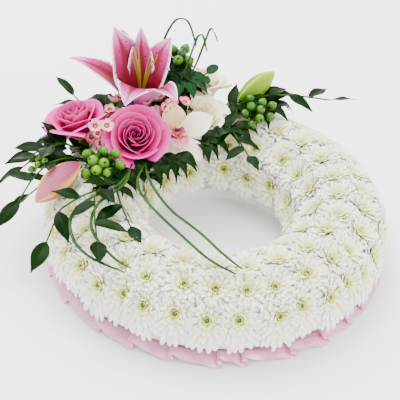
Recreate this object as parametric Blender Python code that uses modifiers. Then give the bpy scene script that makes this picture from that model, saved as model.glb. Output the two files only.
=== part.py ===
"""A massed funeral wreath: a foam ring on a white base with a pleated satin edge, covered in white
chrysanthemum heads, with a spray of lilies, roses, an orchid, berries and foliage at its back left.

Units are metres, +Z is up, and the ring lies flat. The ring's own centre is at RING_CENTRE, because
the origin is the middle of the ground that the whole wreath covers, spray included."""

import math
import random

import bmesh
import bpy
from mathutils import Matrix, Vector
from mathutils.bvhtree import BVHTree

# Driving dimensions of the ring
RING_CENTRE = Vector((0.0280, 0.0, 0.0))
GAP = 0.0003                       # left between pieces that touch
BASE_IN, BASE_OUT, BASE_TOP = 0.114, 0.203, 0.016
FOAM_IN, FOAM_OUT, FOAM_TOP, FOAM_EDGE = 0.118, 0.200, 0.058, 0.010
BED_START, BED_END = 90, 170       # degrees round the ring that the spray takes instead of heads
SECTOR = 40                        # degrees of massed heads in one piece

# The satin edge
PLEATS = 28
SKIRT_OUT = 0.226
SKIRT_THICK = 0.0010
PIN_HEIGHT, HEM_HEIGHT, PLEAT_DEPTH = 0.0125, 0.0035, 0.0115

# The massed heads: their centres lie on an oval section, and so does the packed bed under them
HEAD_RING, HEAD_HALF_WIDTH, HEAD_RISE, HEAD_FOOT = 0.162, 0.062, 0.072, 0.027
BED_RING, BED_HALF_WIDTH, BED_RISE = 0.159, 0.052, 0.050
ROWS = ((37, 36), (65, 30), (94, 24), (126, 19), (158, 16))   # degrees round the section, heads in the row
HEAD_RADIUS, HEAD_DISC = 0.0250, 0.0175
HANG_REACH, HANG_DROP = 0.0400, 0.0120    # how far the lowest row's petals reach and droop
SEAM = 0.0004                      # between heads that press on each other
ROOT_ROOM = 0.0075                 # from a head's stalk to the end of the bed that it stands in
OUTER_PETALS, INNER_PETALS = 6, 5

UP = Vector((0, 0, 1))
rad = math.radians


def polar(radius, degrees, height=0.0):
    """A point at this radius and angle round the ring."""
    return Vector((radius * math.cos(rad(degrees)), radius * math.sin(rad(degrees)), height))


def facing(point, axis, twist=0.0):
    """The matrix that puts a body's foot at a point with its own +Z along axis, turned by twist degrees."""
    turn = Vector(axis).to_track_quat("Z", "Y").to_matrix().to_4x4()
    return Matrix.Translation(point) @ turn @ Matrix.Rotation(rad(twist), 4, "Z")


def material(name, colour, roughness=0.6):
    made = bpy.data.materials.new(name)
    made.use_nodes = True
    shader = made.node_tree.nodes["Principled BSDF"]
    shader.inputs["Base Color"].default_value = (*colour, 1)
    shader.inputs["Roughness"].default_value = roughness
    shader.inputs["Metallic"].default_value = 0
    made.diffuse_color = (*colour, 1)
    return made


# Closed bodies

def mesh_of(bm):
    bmesh.ops.recalc_face_normals(bm, faces=bm.faces)
    if bm.calc_volume(signed=True) < 0:
        bmesh.ops.reverse_faces(bm, faces=bm.faces)
    mesh = bpy.data.meshes.new("body")
    bm.to_mesh(mesh)
    bm.free()
    return mesh


def spindle(sides, rings, place):
    """A closed body from pole to pole. place(t, c, s) gives the point at share t of its length,
    in the direction (c, s) round it."""
    bm = bmesh.new()
    bmesh.ops.create_uvsphere(bm, u_segments=sides, v_segments=rings + 1, radius=1)
    for v in bm.verts:
        t = math.acos(max(-1.0, min(1.0, -v.co.z))) / math.pi
        across = math.hypot(v.co.x, v.co.y)
        c, s = (v.co.x / across, v.co.y / across) if across > 1e-5 else (0.0, 0.0)
        v.co = place(t, c, s)
    return mesh_of(bm)


def loft(rings):
    """A closed body through rings of points that may differ in number. A ring of one point is a tip."""
    bm = bmesh.new()
    made = [[bm.verts.new(p) for p in ring] for ring in rings]
    for low, high in zip(made, made[1:]):
        i = j = 0
        while i < len(low) or j < len(high):
            a, b = low[i % len(low)], high[j % len(high)]
            low_is_next = len(low) > 1 and i < len(low) and (i + 1) / len(low) <= (j + 1) / len(high)
            if len(high) == 1 or low_is_next:
                if len(low) > 1:
                    bm.faces.new((a, low[(i + 1) % len(low)], b))
                i += 1
                if len(high) == 1 and i == len(low):
                    break
            else:
                bm.faces.new((a, high[(j + 1) % len(high)], b))
                j += 1
                if len(low) == 1 and j == len(high):
                    break
    for ring in (made[0], made[-1]):
        if len(ring) > 2:
            bm.faces.new(ring)
    return mesh_of(bm)


def leaf_outline(t, widest):
    """Half width, from 0 to 1, at share t of the length."""
    return math.sin(math.pi * t ** (math.log(0.5) / math.log(widest)))


def bent_line(length, start, end, power, steps=24):
    """(x, z, heading) along a line in the XZ plane, whose heading from +Z turns from start to end
    degrees."""
    x = z = 0.0
    points = [(x, z, rad(start))]
    for i in range(steps):
        heading = rad(start + (end - start) * ((i + 0.5) / steps) ** power)
        x += math.sin(heading) * length / steps
        z += math.cos(heading) * length / steps
        points.append((x, z, rad(start + (end - start) * ((i + 1) / steps) ** power)))
    return points


def along(line, t):
    at = t * (len(line) - 1)
    i = min(int(at), len(line) - 2)
    return [a + (b - a) * (at - i) for a, b in zip(line[i], line[i + 1])]


def blade(length, width, thick, start, end, cup=0.0, widest=0.45, foot=0.0, power=1.0, sides=4, rings=3,
          waist=1.0):
    """A petal or leaf that leaves the +Z axis at heading start and bends to heading end. A positive cup
    lifts its edges towards the axis. foot is how far from the axis it starts."""
    line = bent_line(length, start, end, power)

    def place(t, c, s):
        x, z, heading = along(line, t)
        half = width / 2 * leaf_outline(t, widest) ** (waist if t < widest else 1.0)
        lift = s * thick / 2 + cup * half * c * c
        return Vector((foot + x - math.cos(heading) * lift, c * half, z + math.sin(heading) * lift))

    return spindle(sides, rings, place)


def wrapped_petal(turn, spread, low, high, radius, flare, thick, spiral=0.0012, rings=4):
    """A rose petal: a shell round the +Z axis from height low to high, which reaches spread degrees to
    each side, opens to this radius and flares at its lip. One edge tucks under the next petal."""
    def place(t, c, s):
        half = rad(spread) * (1 - abs(2 * t - 1) ** 3) ** 0.6
        out = radius * (0.25 + 0.75 * math.sin(min(1.0, t * 1.15) * math.pi / 2)) + flare * t ** 4
        out += s * thick / 2 + spiral * c
        angle = rad(turn) + c * half
        height = low + (high - low) * t - 0.003 * c * c * t
        return Vector((out * math.cos(angle), out * math.sin(angle), height))

    return spindle(4, rings, place)


def egg(centre, axis, length, width, sides=5, rings=2, blunt=0.5):
    """A closed egg on a centre, with its length along axis."""
    turn = facing(centre, axis)

    def place(t, c, s):
        half = width / 2 * leaf_outline(t, blunt) ** 0.8 if 0 < t < 1 else 0
        return turn @ Vector((c * half, s * half, length * (t - 0.5)))

    return spindle(sides, rings, place)


def core(radius, tall, widest):
    """The closed heart that petals stand round."""
    def place(t, c, s):
        half = radius * leaf_outline(t, widest)
        return Vector((c * half, s * half, tall * t))

    return spindle(6, 3, place)


def smooth_route(points, count):
    """Evenly spaced points on a smooth curve through these points."""
    knots = [2 * points[0] - points[1], *points, 2 * points[-1] - points[-2]]
    fine = []
    steps = 12
    for a, b, c, d in zip(knots, knots[1:], knots[2:], knots[3:]):
        for i in range(steps):
            t = i / steps
            fine.append(0.5 * (2 * b + (c - a) * t + (2 * a - 5 * b + 4 * c - d) * t * t
                               + (3 * b - a - 3 * c + d) * t ** 3))
    fine.append(points[-1])
    lengths = [0.0]
    for a, b in zip(fine, fine[1:]):
        lengths.append(lengths[-1] + (b - a).length)
    found = []
    j = 0
    for i in range(count):
        want = lengths[-1] * i / (count - 1)
        while j < len(lengths) - 2 and lengths[j + 1] < want:
            j += 1
        share = (want - lengths[j]) / max(1e-9, lengths[j + 1] - lengths[j])
        found.append(fine[j].lerp(fine[j + 1], min(1.0, share)))
    return found


def tube(points, radius, tip=1.0):
    """A three-sided stem: a curve object through these points, made a closed mesh. Its radius falls
    to tip of itself at its end."""
    data = bpy.data.curves.new("stem", "CURVE")
    data.dimensions = "3D"
    data.bevel_mode = "OBJECT"
    data.bevel_object = stem_section
    data.use_fill_caps = True
    spline = data.splines.new("POLY")
    spline.points.add(len(points) - 1)
    for i, (knot, p) in enumerate(zip(spline.points, points)):
        knot.co = (*p, 1)
        knot.radius = radius * (1 + (tip - 1) * i / (len(points) - 1))
    holder = bpy.data.objects.new("stem", data)
    bpy.context.scene.collection.objects.link(holder)
    graph = bpy.context.evaluated_depsgraph_get()
    bm = bmesh.new()
    bm.from_mesh(bpy.data.meshes.new_from_object(holder.evaluated_get(graph)))
    bmesh.ops.remove_doubles(bm, verts=bm.verts, dist=1e-6)
    bpy.data.objects.remove(holder)
    return mesh_of(bm)


def triangle_section():
    """The outline, of radius 1, that every thin stem is swept with."""
    data = bpy.data.curves.new("stem_section", "CURVE")
    data.dimensions = "2D"
    spline = data.splines.new("POLY")
    spline.points.add(2)
    for knot, corner in zip(spline.points, circle(3, 1.0, 0.0)):
        knot.co = (*corner, 1)
    spline.use_cyclic_u = True
    made = bpy.data.objects.new("stem_section", data)
    made.hide_render = True
    made.display_type = "WIRE"
    cutters.objects.link(made)
    return made


def moved(mesh, matrix):
    mesh.transform(matrix)
    return mesh


# Nodes, and what keeps them clear of each other

placed = []                        # a search tree of each finished node, a little larger than the node
CLEARANCE = 0.0006


def tree_of(mesh, grown=0.0):
    mesh.update()
    corners = [v.co + v.normal * grown for v in mesh.vertices]
    return BVHTree.FromPolygons(corners, [tuple(p.vertices) for p in mesh.polygons])


def inside(tree, point):
    """True if a line from the point meets the body's surface an odd number of times."""
    if tree.find_nearest(point)[3] > 0.03:
        return False
    heading = Vector((0.31, 0.23, 0.92)).normalized()
    meets = 0
    while meets < 40:
        hit = tree.ray_cast(point, heading)[0]
        if hit is None:
            break
        meets += 1
        point = hit + heading * 0.000002
    return meets % 2 == 1


def crosses(mesh, foam=True):
    """True if this mesh cuts through a finished node or the foam, or lies inside one."""
    own = tree_of(mesh)
    probe = mesh.vertices[0].co
    for tree in placed + ([solid_foam] if foam else []):
        if own.overlap(tree) or inside(tree, probe):
            return True
    return False


def without_pockets(mesh):
    """Fills the sealed pockets that petals which overlap leave between them."""
    bm = bmesh.new()
    bm.from_mesh(mesh)
    left = set(bm.faces)
    while left:
        island, edge_of = set(), [left.pop()]
        while edge_of:
            face = edge_of.pop()
            island.add(face)
            for edge in face.edges:
                for other in edge.link_faces:
                    if other in left:
                        left.discard(other)
                        edge_of.append(other)
        volume, near = 0.0, next(iter(island)).verts[0].co.copy()
        for face in island:
            first = face.verts[0].co - near
            for a, b in zip(face.verts[1:], face.verts[2:]):
                volume += first.dot((a.co - near).cross(b.co - near)) / 6
        if volume < 1e-10:
            bmesh.ops.delete(bm, geom=list(island), context="FACES")
    bm.to_mesh(mesh)
    bm.free()
    return mesh


def node(name, bodies, look, smooth=True):
    """One named object from closed bodies that overlap, joined by one Boolean union."""
    made = bpy.data.objects.new(name, bodies[0])
    wreath.objects.link(made)
    if len(bodies) > 1:
        pieces = bpy.data.collections.new(name + "_pieces")
        bpy.context.scene.collection.children.link(pieces)
        for body in bodies[1:]:
            pieces.objects.link(bpy.data.objects.new(name + "_piece", body))
        union = made.modifiers.new("join", "BOOLEAN")
        union.operation = "UNION"
        union.operand_type = "COLLECTION"
        union.collection = pieces
        union.solver = "MANIFOLD"
        graph = bpy.context.evaluated_depsgraph_get()
        joined = bpy.data.meshes.new_from_object(made.evaluated_get(graph))
        made.modifiers.clear()
        made.data = without_pockets(joined)
        for piece in list(pieces.objects):
            bpy.data.objects.remove(piece)
        bpy.data.collections.remove(pieces)
    made.data.name = name
    made.data.materials.clear()
    made.data.materials.append(look)
    if smooth:
        made.data.shade_smooth()
        made.data.set_sharp_from_angle(angle=rad(35))
    placed.append(tree_of(made.data, CLEARANCE))
    made.parent = ring
    return made


# The ring

def turned_ring(name, section, steps, look):
    """A ring turned from a closed section of (radius, height), running down its outer side."""
    bm = bmesh.new()
    corners = [bm.verts.new((r, 0, z)) for r, z in section]
    for a, b in zip(corners, corners[1:] + corners[:1]):
        bm.edges.new((a, b))
    mesh = bpy.data.meshes.new(name)
    bm.to_mesh(mesh)
    bm.free()
    made = bpy.data.objects.new(name, mesh)
    wreath.objects.link(made)
    screw = made.modifiers.new("turn", "SCREW")
    screw.steps = screw.render_steps = steps
    screw.use_merge_vertices = True
    screw.merge_threshold = 0.00005
    made.data.materials.append(look)
    made.parent = ring
    return made


def base_ring():
    edge = 0.002
    section = ((BASE_OUT - edge, BASE_TOP), (BASE_OUT, BASE_TOP - edge), (BASE_OUT, 0), (BASE_IN, 0),
               (BASE_IN, BASE_TOP - edge), (BASE_IN + edge, BASE_TOP))
    return turned_ring("base_ring", section, 30, material("foam_board", (0.93, 0.93, 0.92)))


def foam_ring(holes):
    """Wet floral foam with a plain hole for each stem of the spray."""
    low = BASE_TOP + GAP
    section = ((FOAM_OUT - FOAM_EDGE, FOAM_TOP), (FOAM_OUT, FOAM_TOP - FOAM_EDGE), (FOAM_OUT, low),
               (FOAM_IN, low), (FOAM_IN, FOAM_TOP - FOAM_EDGE), (FOAM_IN + FOAM_EDGE, FOAM_TOP))
    made = turned_ring("foam_ring", section, 36, material("floral_foam", (0.05, 0.16, 0.08), 0.9))
    graph = bpy.context.evaluated_depsgraph_get()
    whole = bpy.data.meshes.new_from_object(made.evaluated_get(graph))
    made.modifiers.clear()
    made.data = whole
    if not holes:
        return made
    drills = bpy.data.collections.new("stem_holes")
    bpy.context.scene.collection.children.link(drills)
    for spot, radius in holes:
        deep = FOAM_TOP - HOLE_BOTTOM
        bm = bmesh.new()
        bmesh.ops.create_cone(bm, cap_ends=True, segments=HOLE_SIDES, radius1=radius, radius2=radius,
                              depth=2 * deep)
        cutter = bpy.data.objects.new("stem_hole", mesh_of(bm))
        cutter.data.transform(Matrix.Translation((spot.x, spot.y, FOAM_TOP)))
        drills.objects.link(cutter)
        cutter.parent = ring
    cut = made.modifiers.new("stem_holes", "BOOLEAN")
    cut.operation = "DIFFERENCE"
    cut.operand_type = "COLLECTION"
    cut.collection = drills
    cut.solver = "MANIFOLD"
    graph = bpy.context.evaluated_depsgraph_get()
    drilled = bpy.data.meshes.new_from_object(made.evaluated_get(graph))
    made.modifiers.clear()
    made.data = drilled
    made.data.name = "foam_ring"
    for cutter in list(drills.objects):
        bpy.data.objects.remove(cutter)
    bpy.data.collections.remove(drills)
    return made


def ribbon_skirt():
    """Satin ribbon pinned round the base's side in knife pleats, which fan out under the heads."""
    foot = BASE_OUT + GAP
    bm = bmesh.new()
    inner, outer = [], []
    for i in range(2 * PLEATS):
        angle = 180 * i / PLEATS
        crest = i % 2
        inner.append(bm.verts.new(polar(foot, angle, PIN_HEIGHT - 0.003 * crest)))
        height = HEM_HEIGHT + PLEAT_DEPTH * crest
        outer.append(bm.verts.new(polar(SKIRT_OUT - 0.004 * crest, angle, height)))
    count = len(inner)
    for i in range(count):
        j = (i + 1) % count
        bm.faces.new((inner[i], outer[i], outer[j], inner[j]))
    mesh = mesh_of(bm)
    made = bpy.data.objects.new("ribbon_skirt", mesh)
    wreath.objects.link(made)
    wall = made.modifiers.new("ribbon", "SOLIDIFY")
    wall.thickness = SKIRT_THICK
    wall.offset = 0
    graph = bpy.context.evaluated_depsgraph_get()
    thick = bpy.data.meshes.new_from_object(made.evaluated_get(graph))
    for v in thick.vertices:
        flat = math.hypot(v.co.x, v.co.y)
        if flat < foot:
            v.co.x, v.co.y = v.co.x * foot / flat, v.co.y * foot / flat
    made.modifiers.clear()
    made.data = thick
    made.data.name = "ribbon_skirt"
    made.data.materials.append(material("pink_satin", (0.85, 0.50, 0.66), 0.35))
    placed.append(tree_of(thick, CLEARANCE))
    made.parent = ring
    return made


# The massed chrysanthemums

def section_point(ring_radius, half_width, rise, degrees, angle):
    """A point on an oval section, at degrees round it from its outer side, at this angle round the ring."""
    return polar(ring_radius + half_width * math.cos(rad(degrees)), angle,
                 HEAD_FOOT + rise * math.sin(rad(degrees)))


def in_bed(angle, margin=0.0):
    return BED_START - margin < angle % 360 < BED_END + margin


def head_spots():
    """(centre, normal, twist, row, angle) of every head, row by row, each a little out of line."""
    random.seed(7)
    spots = []
    for row, (degrees, count) in enumerate(ROWS):
        for i in range(count):
            angle = (360 / count * (i + 0.5 * (row % 2)) + random.uniform(-1.6, 1.6)) % 360
            lean = degrees + random.uniform(-3, 3)
            twist = random.uniform(0, 360)
            keep = math.degrees(ROOT_ROOM / (HEAD_RING + HEAD_HALF_WIDTH * math.cos(rad(lean))))
            seam = SECTOR * round((angle - BED_START) / SECTOR) + BED_START
            if abs(angle - seam) < keep:
                angle = (seam + math.copysign(keep, angle - seam)) % 360
            if row in (1, 2, 3) and in_bed(angle, 2):
                continue
            centre = section_point(HEAD_RING, HEAD_HALF_WIDTH, HEAD_RISE, lean, angle)
            slope = Vector((math.cos(rad(lean)) / HEAD_HALF_WIDTH, 0, math.sin(rad(lean)) / HEAD_RISE))
            normal = (polar(slope.x, angle) + UP * slope.z).normalized()
            spots.append((centre, normal, twist, row, angle))
    return spots


def in_packed_bed(point):
    flat = math.hypot(point.x, point.y)
    return ((flat - BED_RING) / BED_HALF_WIDTH) ** 2 + ((point.z - HEAD_FOOT) / BED_RISE) ** 2 < 1


def star(petals, tip, valley, tip_z, valley_z, phase):
    """The outline of a layer of petals: a tip and a valley in turn."""
    ring_points = []
    for i in range(2 * petals):
        at_tip = i % 2 == 0
        angle = rad(phase) + math.pi * i / petals
        radius, z = (tip, tip_z) if at_tip else (valley, valley_z)
        ring_points.append(Vector((radius * math.cos(angle), radius * math.sin(angle), z)))
    return ring_points


def circle(sides, radius, z, phase=0.0):
    return [Vector((radius * math.cos(rad(phase) + 2 * math.pi * i / sides),
                    radius * math.sin(rad(phase) + 2 * math.pi * i / sides), z)) for i in range(sides)]


def chrysanthemum(spot, others):
    """One head: a short stalk into the packed bed, a layer of outer petals and a layer of inner ones.
    Where it would meet a neighbour it is pressed back, as heads are in a massed ring."""
    centre, normal, twist, row, _ = spot
    reach, drop = (HANG_REACH, HANG_DROP) if row == 0 else (HEAD_RADIUS, 0)
    depth = 0.006
    while not in_packed_bed(centre - normal * depth):
        depth += 0.0005
    turn = facing(centre, normal, twist)
    rings = [circle(3, 0.0032, -depth - 0.0042), circle(3, 0.0045, -0.0065),
             star(OUTER_PETALS, reach, HEAD_DISC, 0.0005 - drop, -0.0035, 0),
             circle(INNER_PETALS, 0.0125, 0.0075, 15),
             [Vector((0, 0, 0.0010))]]
    rings = [[turn @ p for p in ring_points] for ring_points in rings]
    for other in others:
        apart = other[0] - centre
        distance = apart.length
        if not 0 < distance < 2.3 * HEAD_RADIUS:
            continue
        towards, room = apart / distance, distance / 2 - SEAM
        for ring_points in rings[1:]:
            for p in ring_points:
                over = (p - centre).dot(towards)
                if over > room:
                    p -= (p - centre) * (1 - room / over)
    return loft(rings)


# Half the angle of one straight stretch of the bed's wall and of the foam's: each wall is set out or
# in by as much as the other one's corners reach
BED_STEP, FOAM_STEP = rad(6.8), rad(5)


def packed_bed(start, end, low_degrees, high_degrees):
    """The packed undersides of the heads: a shell over the foam between two angles round the ring."""
    steps = max(2, round((high_degrees - low_degrees) / 38))
    over = [low_degrees + (high_degrees - low_degrees) * i / steps for i in range(steps + 1)]
    count = max(2, round((end - start) / 13))
    rings = []
    for i in range(count + 1):
        angle = start + (end - start) * i / count
        outside = [section_point(BED_RING, BED_HALF_WIDTH, BED_RISE, d, angle) for d in over]
        within = []
        wall_out = (FOAM_OUT + GAP) / math.cos(BED_STEP)
        wall_in, lid = FOAM_IN * math.cos(FOAM_STEP) - GAP, FOAM_TOP + GAP
        if high_degrees > 90:
            within += [polar(wall_in, angle, outside[-1].z)]
        if high_degrees > 90 and low_degrees < 90:
            within += [polar(wall_in, angle, lid - FOAM_EDGE), polar(wall_in + FOAM_EDGE, angle, lid)]
            within += [polar(wall_out - FOAM_EDGE, angle, lid), polar(wall_out, angle, lid - FOAM_EDGE)]
        elif low_degrees < 90:
            within += [polar(wall_out, angle, outside[-1].z)]
        else:
            within += [polar(wall_in, angle, outside[0].z)]
        if low_degrees < 90:
            within += [polar(wall_out, angle, outside[0].z)]
        rings.append(outside + within)
    return loft(rings)


def massed_heads():
    white = material("white_petals", (0.93, 0.93, 0.86))
    spots = head_spots()
    trim = math.degrees(GAP / BED_RING)
    number = 0
    for start in range(BED_START - 360, BED_START, SECTOR):
        number += 1
        end = start + SECTOR
        parts = (("", -11, 188, range(5)),)
        if in_bed((start + end) / 2):
            parts = (("_outer", -11, 45, (0, 1)), ("_inner", 135, 188, (3, 4)))
        for side, low, high, rows in parts:
            mine = [s for s in spots if s[3] in rows and 0 <= (s[4] - start) % 360 < SECTOR]
            bodies = [packed_bed(start + trim, end - trim, low, high)]
            bodies += [chrysanthemum(s, spots) for s in mine]
            node(f"massed_heads_{number:02d}{side}", bodies, white, smooth=False)


# Stems

STEM_SPOTS = [polar(radius, angle)
              for angle in range(93, 168, 5) for radius in (0.130, 0.148, 0.166, 0.185)]
HOLE_BOTTOM = 0.030
HOLE_ROOM, HOLE_SIDES = 0.0005, 5  # the room round a stem, and the sides of its hole
holes = []


def mm(x, y, z):
    return Vector((x, y, z)) / 1000


def rooted(top, towards, radius, by=()):
    """A clear route up from the nearest free place in the foam to top, which it reaches heading
    towards."""
    towards = Vector(towards).normalized()
    first = by[0] if by else top
    for lift in (0, 0.004, 0.008, 0.013):
        for spot in sorted(STEM_SPOTS, key=lambda s: (s.xy - first.xy).length):
            out = Vector((spot.x, spot.y, FOAM_TOP + 0.004))
            reach = (top - out).length
            for bend in (0.35, 0.2, 0.5, 0, -1):
                before = [] if by else [top - towards * reach * bend]
                if bend < 0.1 and not by:
                    over = out.lerp(top, 0.15 if bend else 0.35)
                    before = [Vector((over.x, over.y, top.z - 0.003))]
                elif bend < 0.1:
                    before = []
                points = [out, *[p + UP * lift for p in by], *before, top + UP * lift * (1 if by else 0)]
                foot = Vector((spot.x, spot.y, HOLE_BOTTOM + 0.001))
                route = [foot, *smooth_route(points, 4 + 2 * len(by))]
                if not crosses(tube(route, radius), foam=False):
                    STEM_SPOTS.remove(spot)
                    holes.append((spot, (radius + HOLE_ROOM) / math.cos(math.pi / HOLE_SIDES)))
                    return route
    raise ValueError("a stem finds no clear way up")


def frame_at(point, direction, up):
    """The matrix that puts a leaf's foot at a point, its length along direction and its face to up."""
    z = Vector(direction).normalized()
    x = (up - z * up.dot(z)).normalized()
    turn = Matrix((x, z.cross(x), z)).transposed().to_4x4()
    return Matrix.Translation(point) @ turn


# The blooms

def rose(name, base, axis, rows, look, heart, stem_radius=0.0024):
    """A rose: rows of (petals, radius, height, flare) round a closed heart, and its green cup and stem."""
    turn = facing(base, axis)
    radius, tall = heart
    bodies = [core(radius, tall, 0.4)]
    bodies.append(egg(Vector((0, 0, 0.011)), UP, 0.022, 0.026, 6, 3))
    for row, (petals, out, high, flare) in enumerate(rows):
        for i in range(petals):
            at = 360 / petals * i + 40 * row
            bodies.append(wrapped_petal(at, 172 / petals, 0.004, high, out, flare, 0.0011, 0.0014, 3))
    node(name, [moved(body, turn) for body in bodies], look)
    cup = moved(egg(Vector((0, 0, -0.0093)), UP, 0.018, 0.017, 6, 3), turn)
    route = rooted(base - axis.normalized() * 0.012, axis, stem_radius)
    node(name + "_stem", [tube(route, stem_radius), cup], green)


def lily():
    base, axis = mm(-112, 118, 125), Vector((0.05, -0.05, 1)).normalized()
    turn = facing(base, axis)
    # Each tepal's angle round the axis, length and width in mm, first and last heading, and the power
    # that sets how late it curls
    tepals = ((154, 128, 46, 8, 42, 1.0), (90, 112, 32, 4, 36, 1.0), (48, 122, 42, 8, 42, 1.0),
              (186, 126, 38, 16, 76, 1.0), (268, 122, 44, 8, 150, 2.2), (338, 124, 36, 10, 158, 2.0))
    bodies = [core(0.0125, 0.024, 0.5)]
    for at, length, width, start, end, power in tepals:
        tepal = blade(length / 1000, width / 1000, 0.0012, start, end, 0.12, 0.5,
                      0.0030 if width > 40 else 0.0040, power, 4, 5, waist=1.9)
        bodies.append(moved(tepal, Matrix.Rotation(rad(at), 4, "Z")))
    node("lily_tepals", [moved(body, turn) for body in bodies], lily_pink)
    foot = Vector((0, 0, 0.0248))
    bodies = [egg(foot + UP * 0.005, UP, 0.010, 0.007, 6, 3)]
    # Six filaments and the pistil: angle, lean, height and radius
    for at, lean, tall, thick in ([(60 * i + 20, 0.017, 0.076, 0.0010) for i in range(6)]
                                  + [(0, 0.004, 0.098, 0.0015)]):
        out = polar(1, at)
        middle = foot + UP * tall * 0.5 + out * lean * 0.35
        bodies.append(tube([foot + UP * 0.003, middle, foot + UP * tall + out * lean], thick, tip=0.8))
    bodies.append(egg(foot + Vector((0.004, 0, 0.099)), UP, 0.006, 0.007, 6, 3))
    node("lily_stamens", [moved(body, turn) for body in bodies], gold)
    route = rooted(base - axis * 0.0105, axis, 0.0026)
    collar = moved(egg(Vector((0, 0, -0.006)), UP, 0.011, 0.010, 6, 3), turn)
    node("lily_stem", [tube(route, 0.0026), collar], green)


def orchid():
    centre, axis = mm(-61, 82, 120), Vector((0.14, -0.55, 0.82)).normalized()
    turn = facing(centre, axis)
    bodies = [egg(Vector((0, 0, 0.001)), UP, 0.014, 0.018, 6, 3)]
    for at, length, width in ((90, 44, 32), (20, 56, 34), (160, 43, 28), (304, 50, 30), (236, 42, 28)):
        tepal = blade(length / 1000, width / 1000, 0.0013, 55, 90, 0.08, 0.5, 0.003, 1.0, 4, 3)
        bodies.append(moved(tepal, Matrix.Rotation(rad(at), 4, "Z")))
    node("orchid_tepals", [moved(body, turn) for body in bodies], cream)
    lip = turn @ Matrix.Translation((0, 0, 0.0083))
    bodies = [egg(Vector((0, 0, 0.006)), UP, 0.012, 0.012, 6, 3)]
    tongue = blade(0.034, 0.026, 0.0014, 25, 110, 0.15, 0.62, 0.0, 1.6, 4, 4)
    bodies.append(moved(tongue, Matrix.Rotation(rad(268), 4, "Z")))
    for at in (205, 332):
        ear = blade(0.020, 0.018, 0.0013, 15, 40, 0.3, 0.6, 0.002)
        bodies.append(moved(ear, Matrix.Rotation(rad(at), 4, "Z")))
    column = blade(0.022, 0.010, 0.006, 5, -40, 0.0, 0.7, 0.0)
    bodies.append(moved(column, Matrix.Rotation(rad(270), 4, "Z")))
    node("orchid_lip", [moved(body, lip) for body in bodies], orchid_pink)
    route = rooted(centre - axis * 0.0068, axis, 0.0022)
    node("orchid_stem", [tube(route, 0.0022)], green)


def lily_bud(name, root, tip, width, look):
    """A closed lily bud with three ribs, on its own stem."""
    axis = (tip - root).normalized()
    turn = facing(root, axis)
    length = (tip - root).length

    def place(t, c, s):
        round_it = math.atan2(s, c)
        ribs = 1 + 0.07 * math.cos(3 * round_it)
        half = width / 2 * leaf_outline(t, 0.55) ** 0.85 * ribs if 0 < t < 1 else 0
        return turn @ Vector((c * half, s * half, length * t))

    body = spindle(9, 5, place)
    route = rooted(root + axis * 0.006, axis, 0.0022)
    node(name, [body, tube(route, 0.0022)], look)


def stalked(hub, spot, length, width):
    """A berry or a small cup with its stalk from a hub, as one body."""
    turn = facing(spot, spot - hub)
    foot = 0.0016 - (spot - hub).length
    rings = [circle(3, 0.0009, foot), circle(3, 0.0009, -0.48 * length),
             circle(5, width * 0.48, -0.16 * length), circle(5, width * 0.40, 0.24 * length, 36),
             [Vector((0, 0, 0.5 * length))]]
    return moved(loft(rings), turn)


def berry_cluster(name, centre, normal, hub, count, spacing, size, look, stem=0.0014):
    """Berries packed in a shallow dome, each on a stalk from one hub."""
    turn = facing(centre, normal)
    bodies = []
    for i in range(count):
        out, at = spacing * math.sqrt(i + 0.35), 137.5 * i
        for attempt in range(30):
            shift = polar(0.0005 * attempt, 100 * attempt) + UP * 0.00035 * attempt
            spot = turn @ (polar(out, at) + UP * (-out * out * 9) + shift)
            berry = stalked(hub, spot, size * 1.12, size)
            if not crosses(berry):
                bodies.append(berry)
                break
    route = rooted(hub, (centre - hub), stem)
    node(name, [tube(route, stem), egg(hub, UP, 0.007, 0.007), *bodies], look)


def waxflower(name, hub, centre, reach, count, look):
    """Small cupped flowers on thin stalks from one twig, about a centre and within this reach of it."""
    bodies, spots = [], []
    for _ in range(count):
        for attempt in range(40):
            spot = centre + Vector([random.uniform(-r, r) for r in reach])
            cup = stalked(hub, spot, 0.009, 0.013)
            if not crosses(cup) and all((spot - other).length > 0.014 for other in spots):
                bodies.append(cup)
                spots.append(spot)
                break
    route = rooted(hub, UP, 0.0013)
    node(name, [tube(route, 0.0013), egg(hub, UP, 0.007, 0.007), *bodies], look)


# Foliage

def sprig(name, by, leaves, length, width, look, first=0.35, spread=55, thick=0.0009, radius=0.0013):
    """A rooted stem through these points with leaves to its two sides in turn and one at its tip.
    A leaf that would meet another piece is turned or shortened until it is clear."""
    top = by[-1]
    route = rooted(top, top - (by[-2] if len(by) > 1 else top - UP), radius, by[:-1])
    bodies = [tube(route, radius, tip=0.6)]
    for i in range(leaves):
        share = first + (1 - first) * i / max(1, leaves - 1)
        at = share * (len(route) - 1)
        k = min(int(at), len(route) - 2)
        point = route[k].lerp(route[k + 1], at - k)
        ahead = (route[k + 1] - route[k]).normalized()
        side = ahead.cross(UP).normalized()
        last = i == leaves - 1
        for attempt in range(14):
            swing = 0 if last else (spread + random.uniform(-18, 18)) * (-1) ** i
            size = (1 - 0.05 * attempt) * random.uniform(0.85, 1.1)
            rise = random.uniform(-0.1, 0.35) + 0.05 * attempt
            away = ahead * math.cos(rad(swing)) + side * math.sin(rad(swing)) + UP * rise
            droop = random.uniform(-28, -6)
            leaf = blade(length * size, width * size, thick, 4, droop, 0.12, 0.45, 0.0, 1.0, 4, 2)
            face = UP + side * random.uniform(-0.4, 0.4)
            leaf = moved(leaf, frame_at(point - away.normalized() * 0.0015, away, face))
            if not crosses(leaf):
                bodies.append(leaf)
                break
    node(name, bodies, look)


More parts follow.
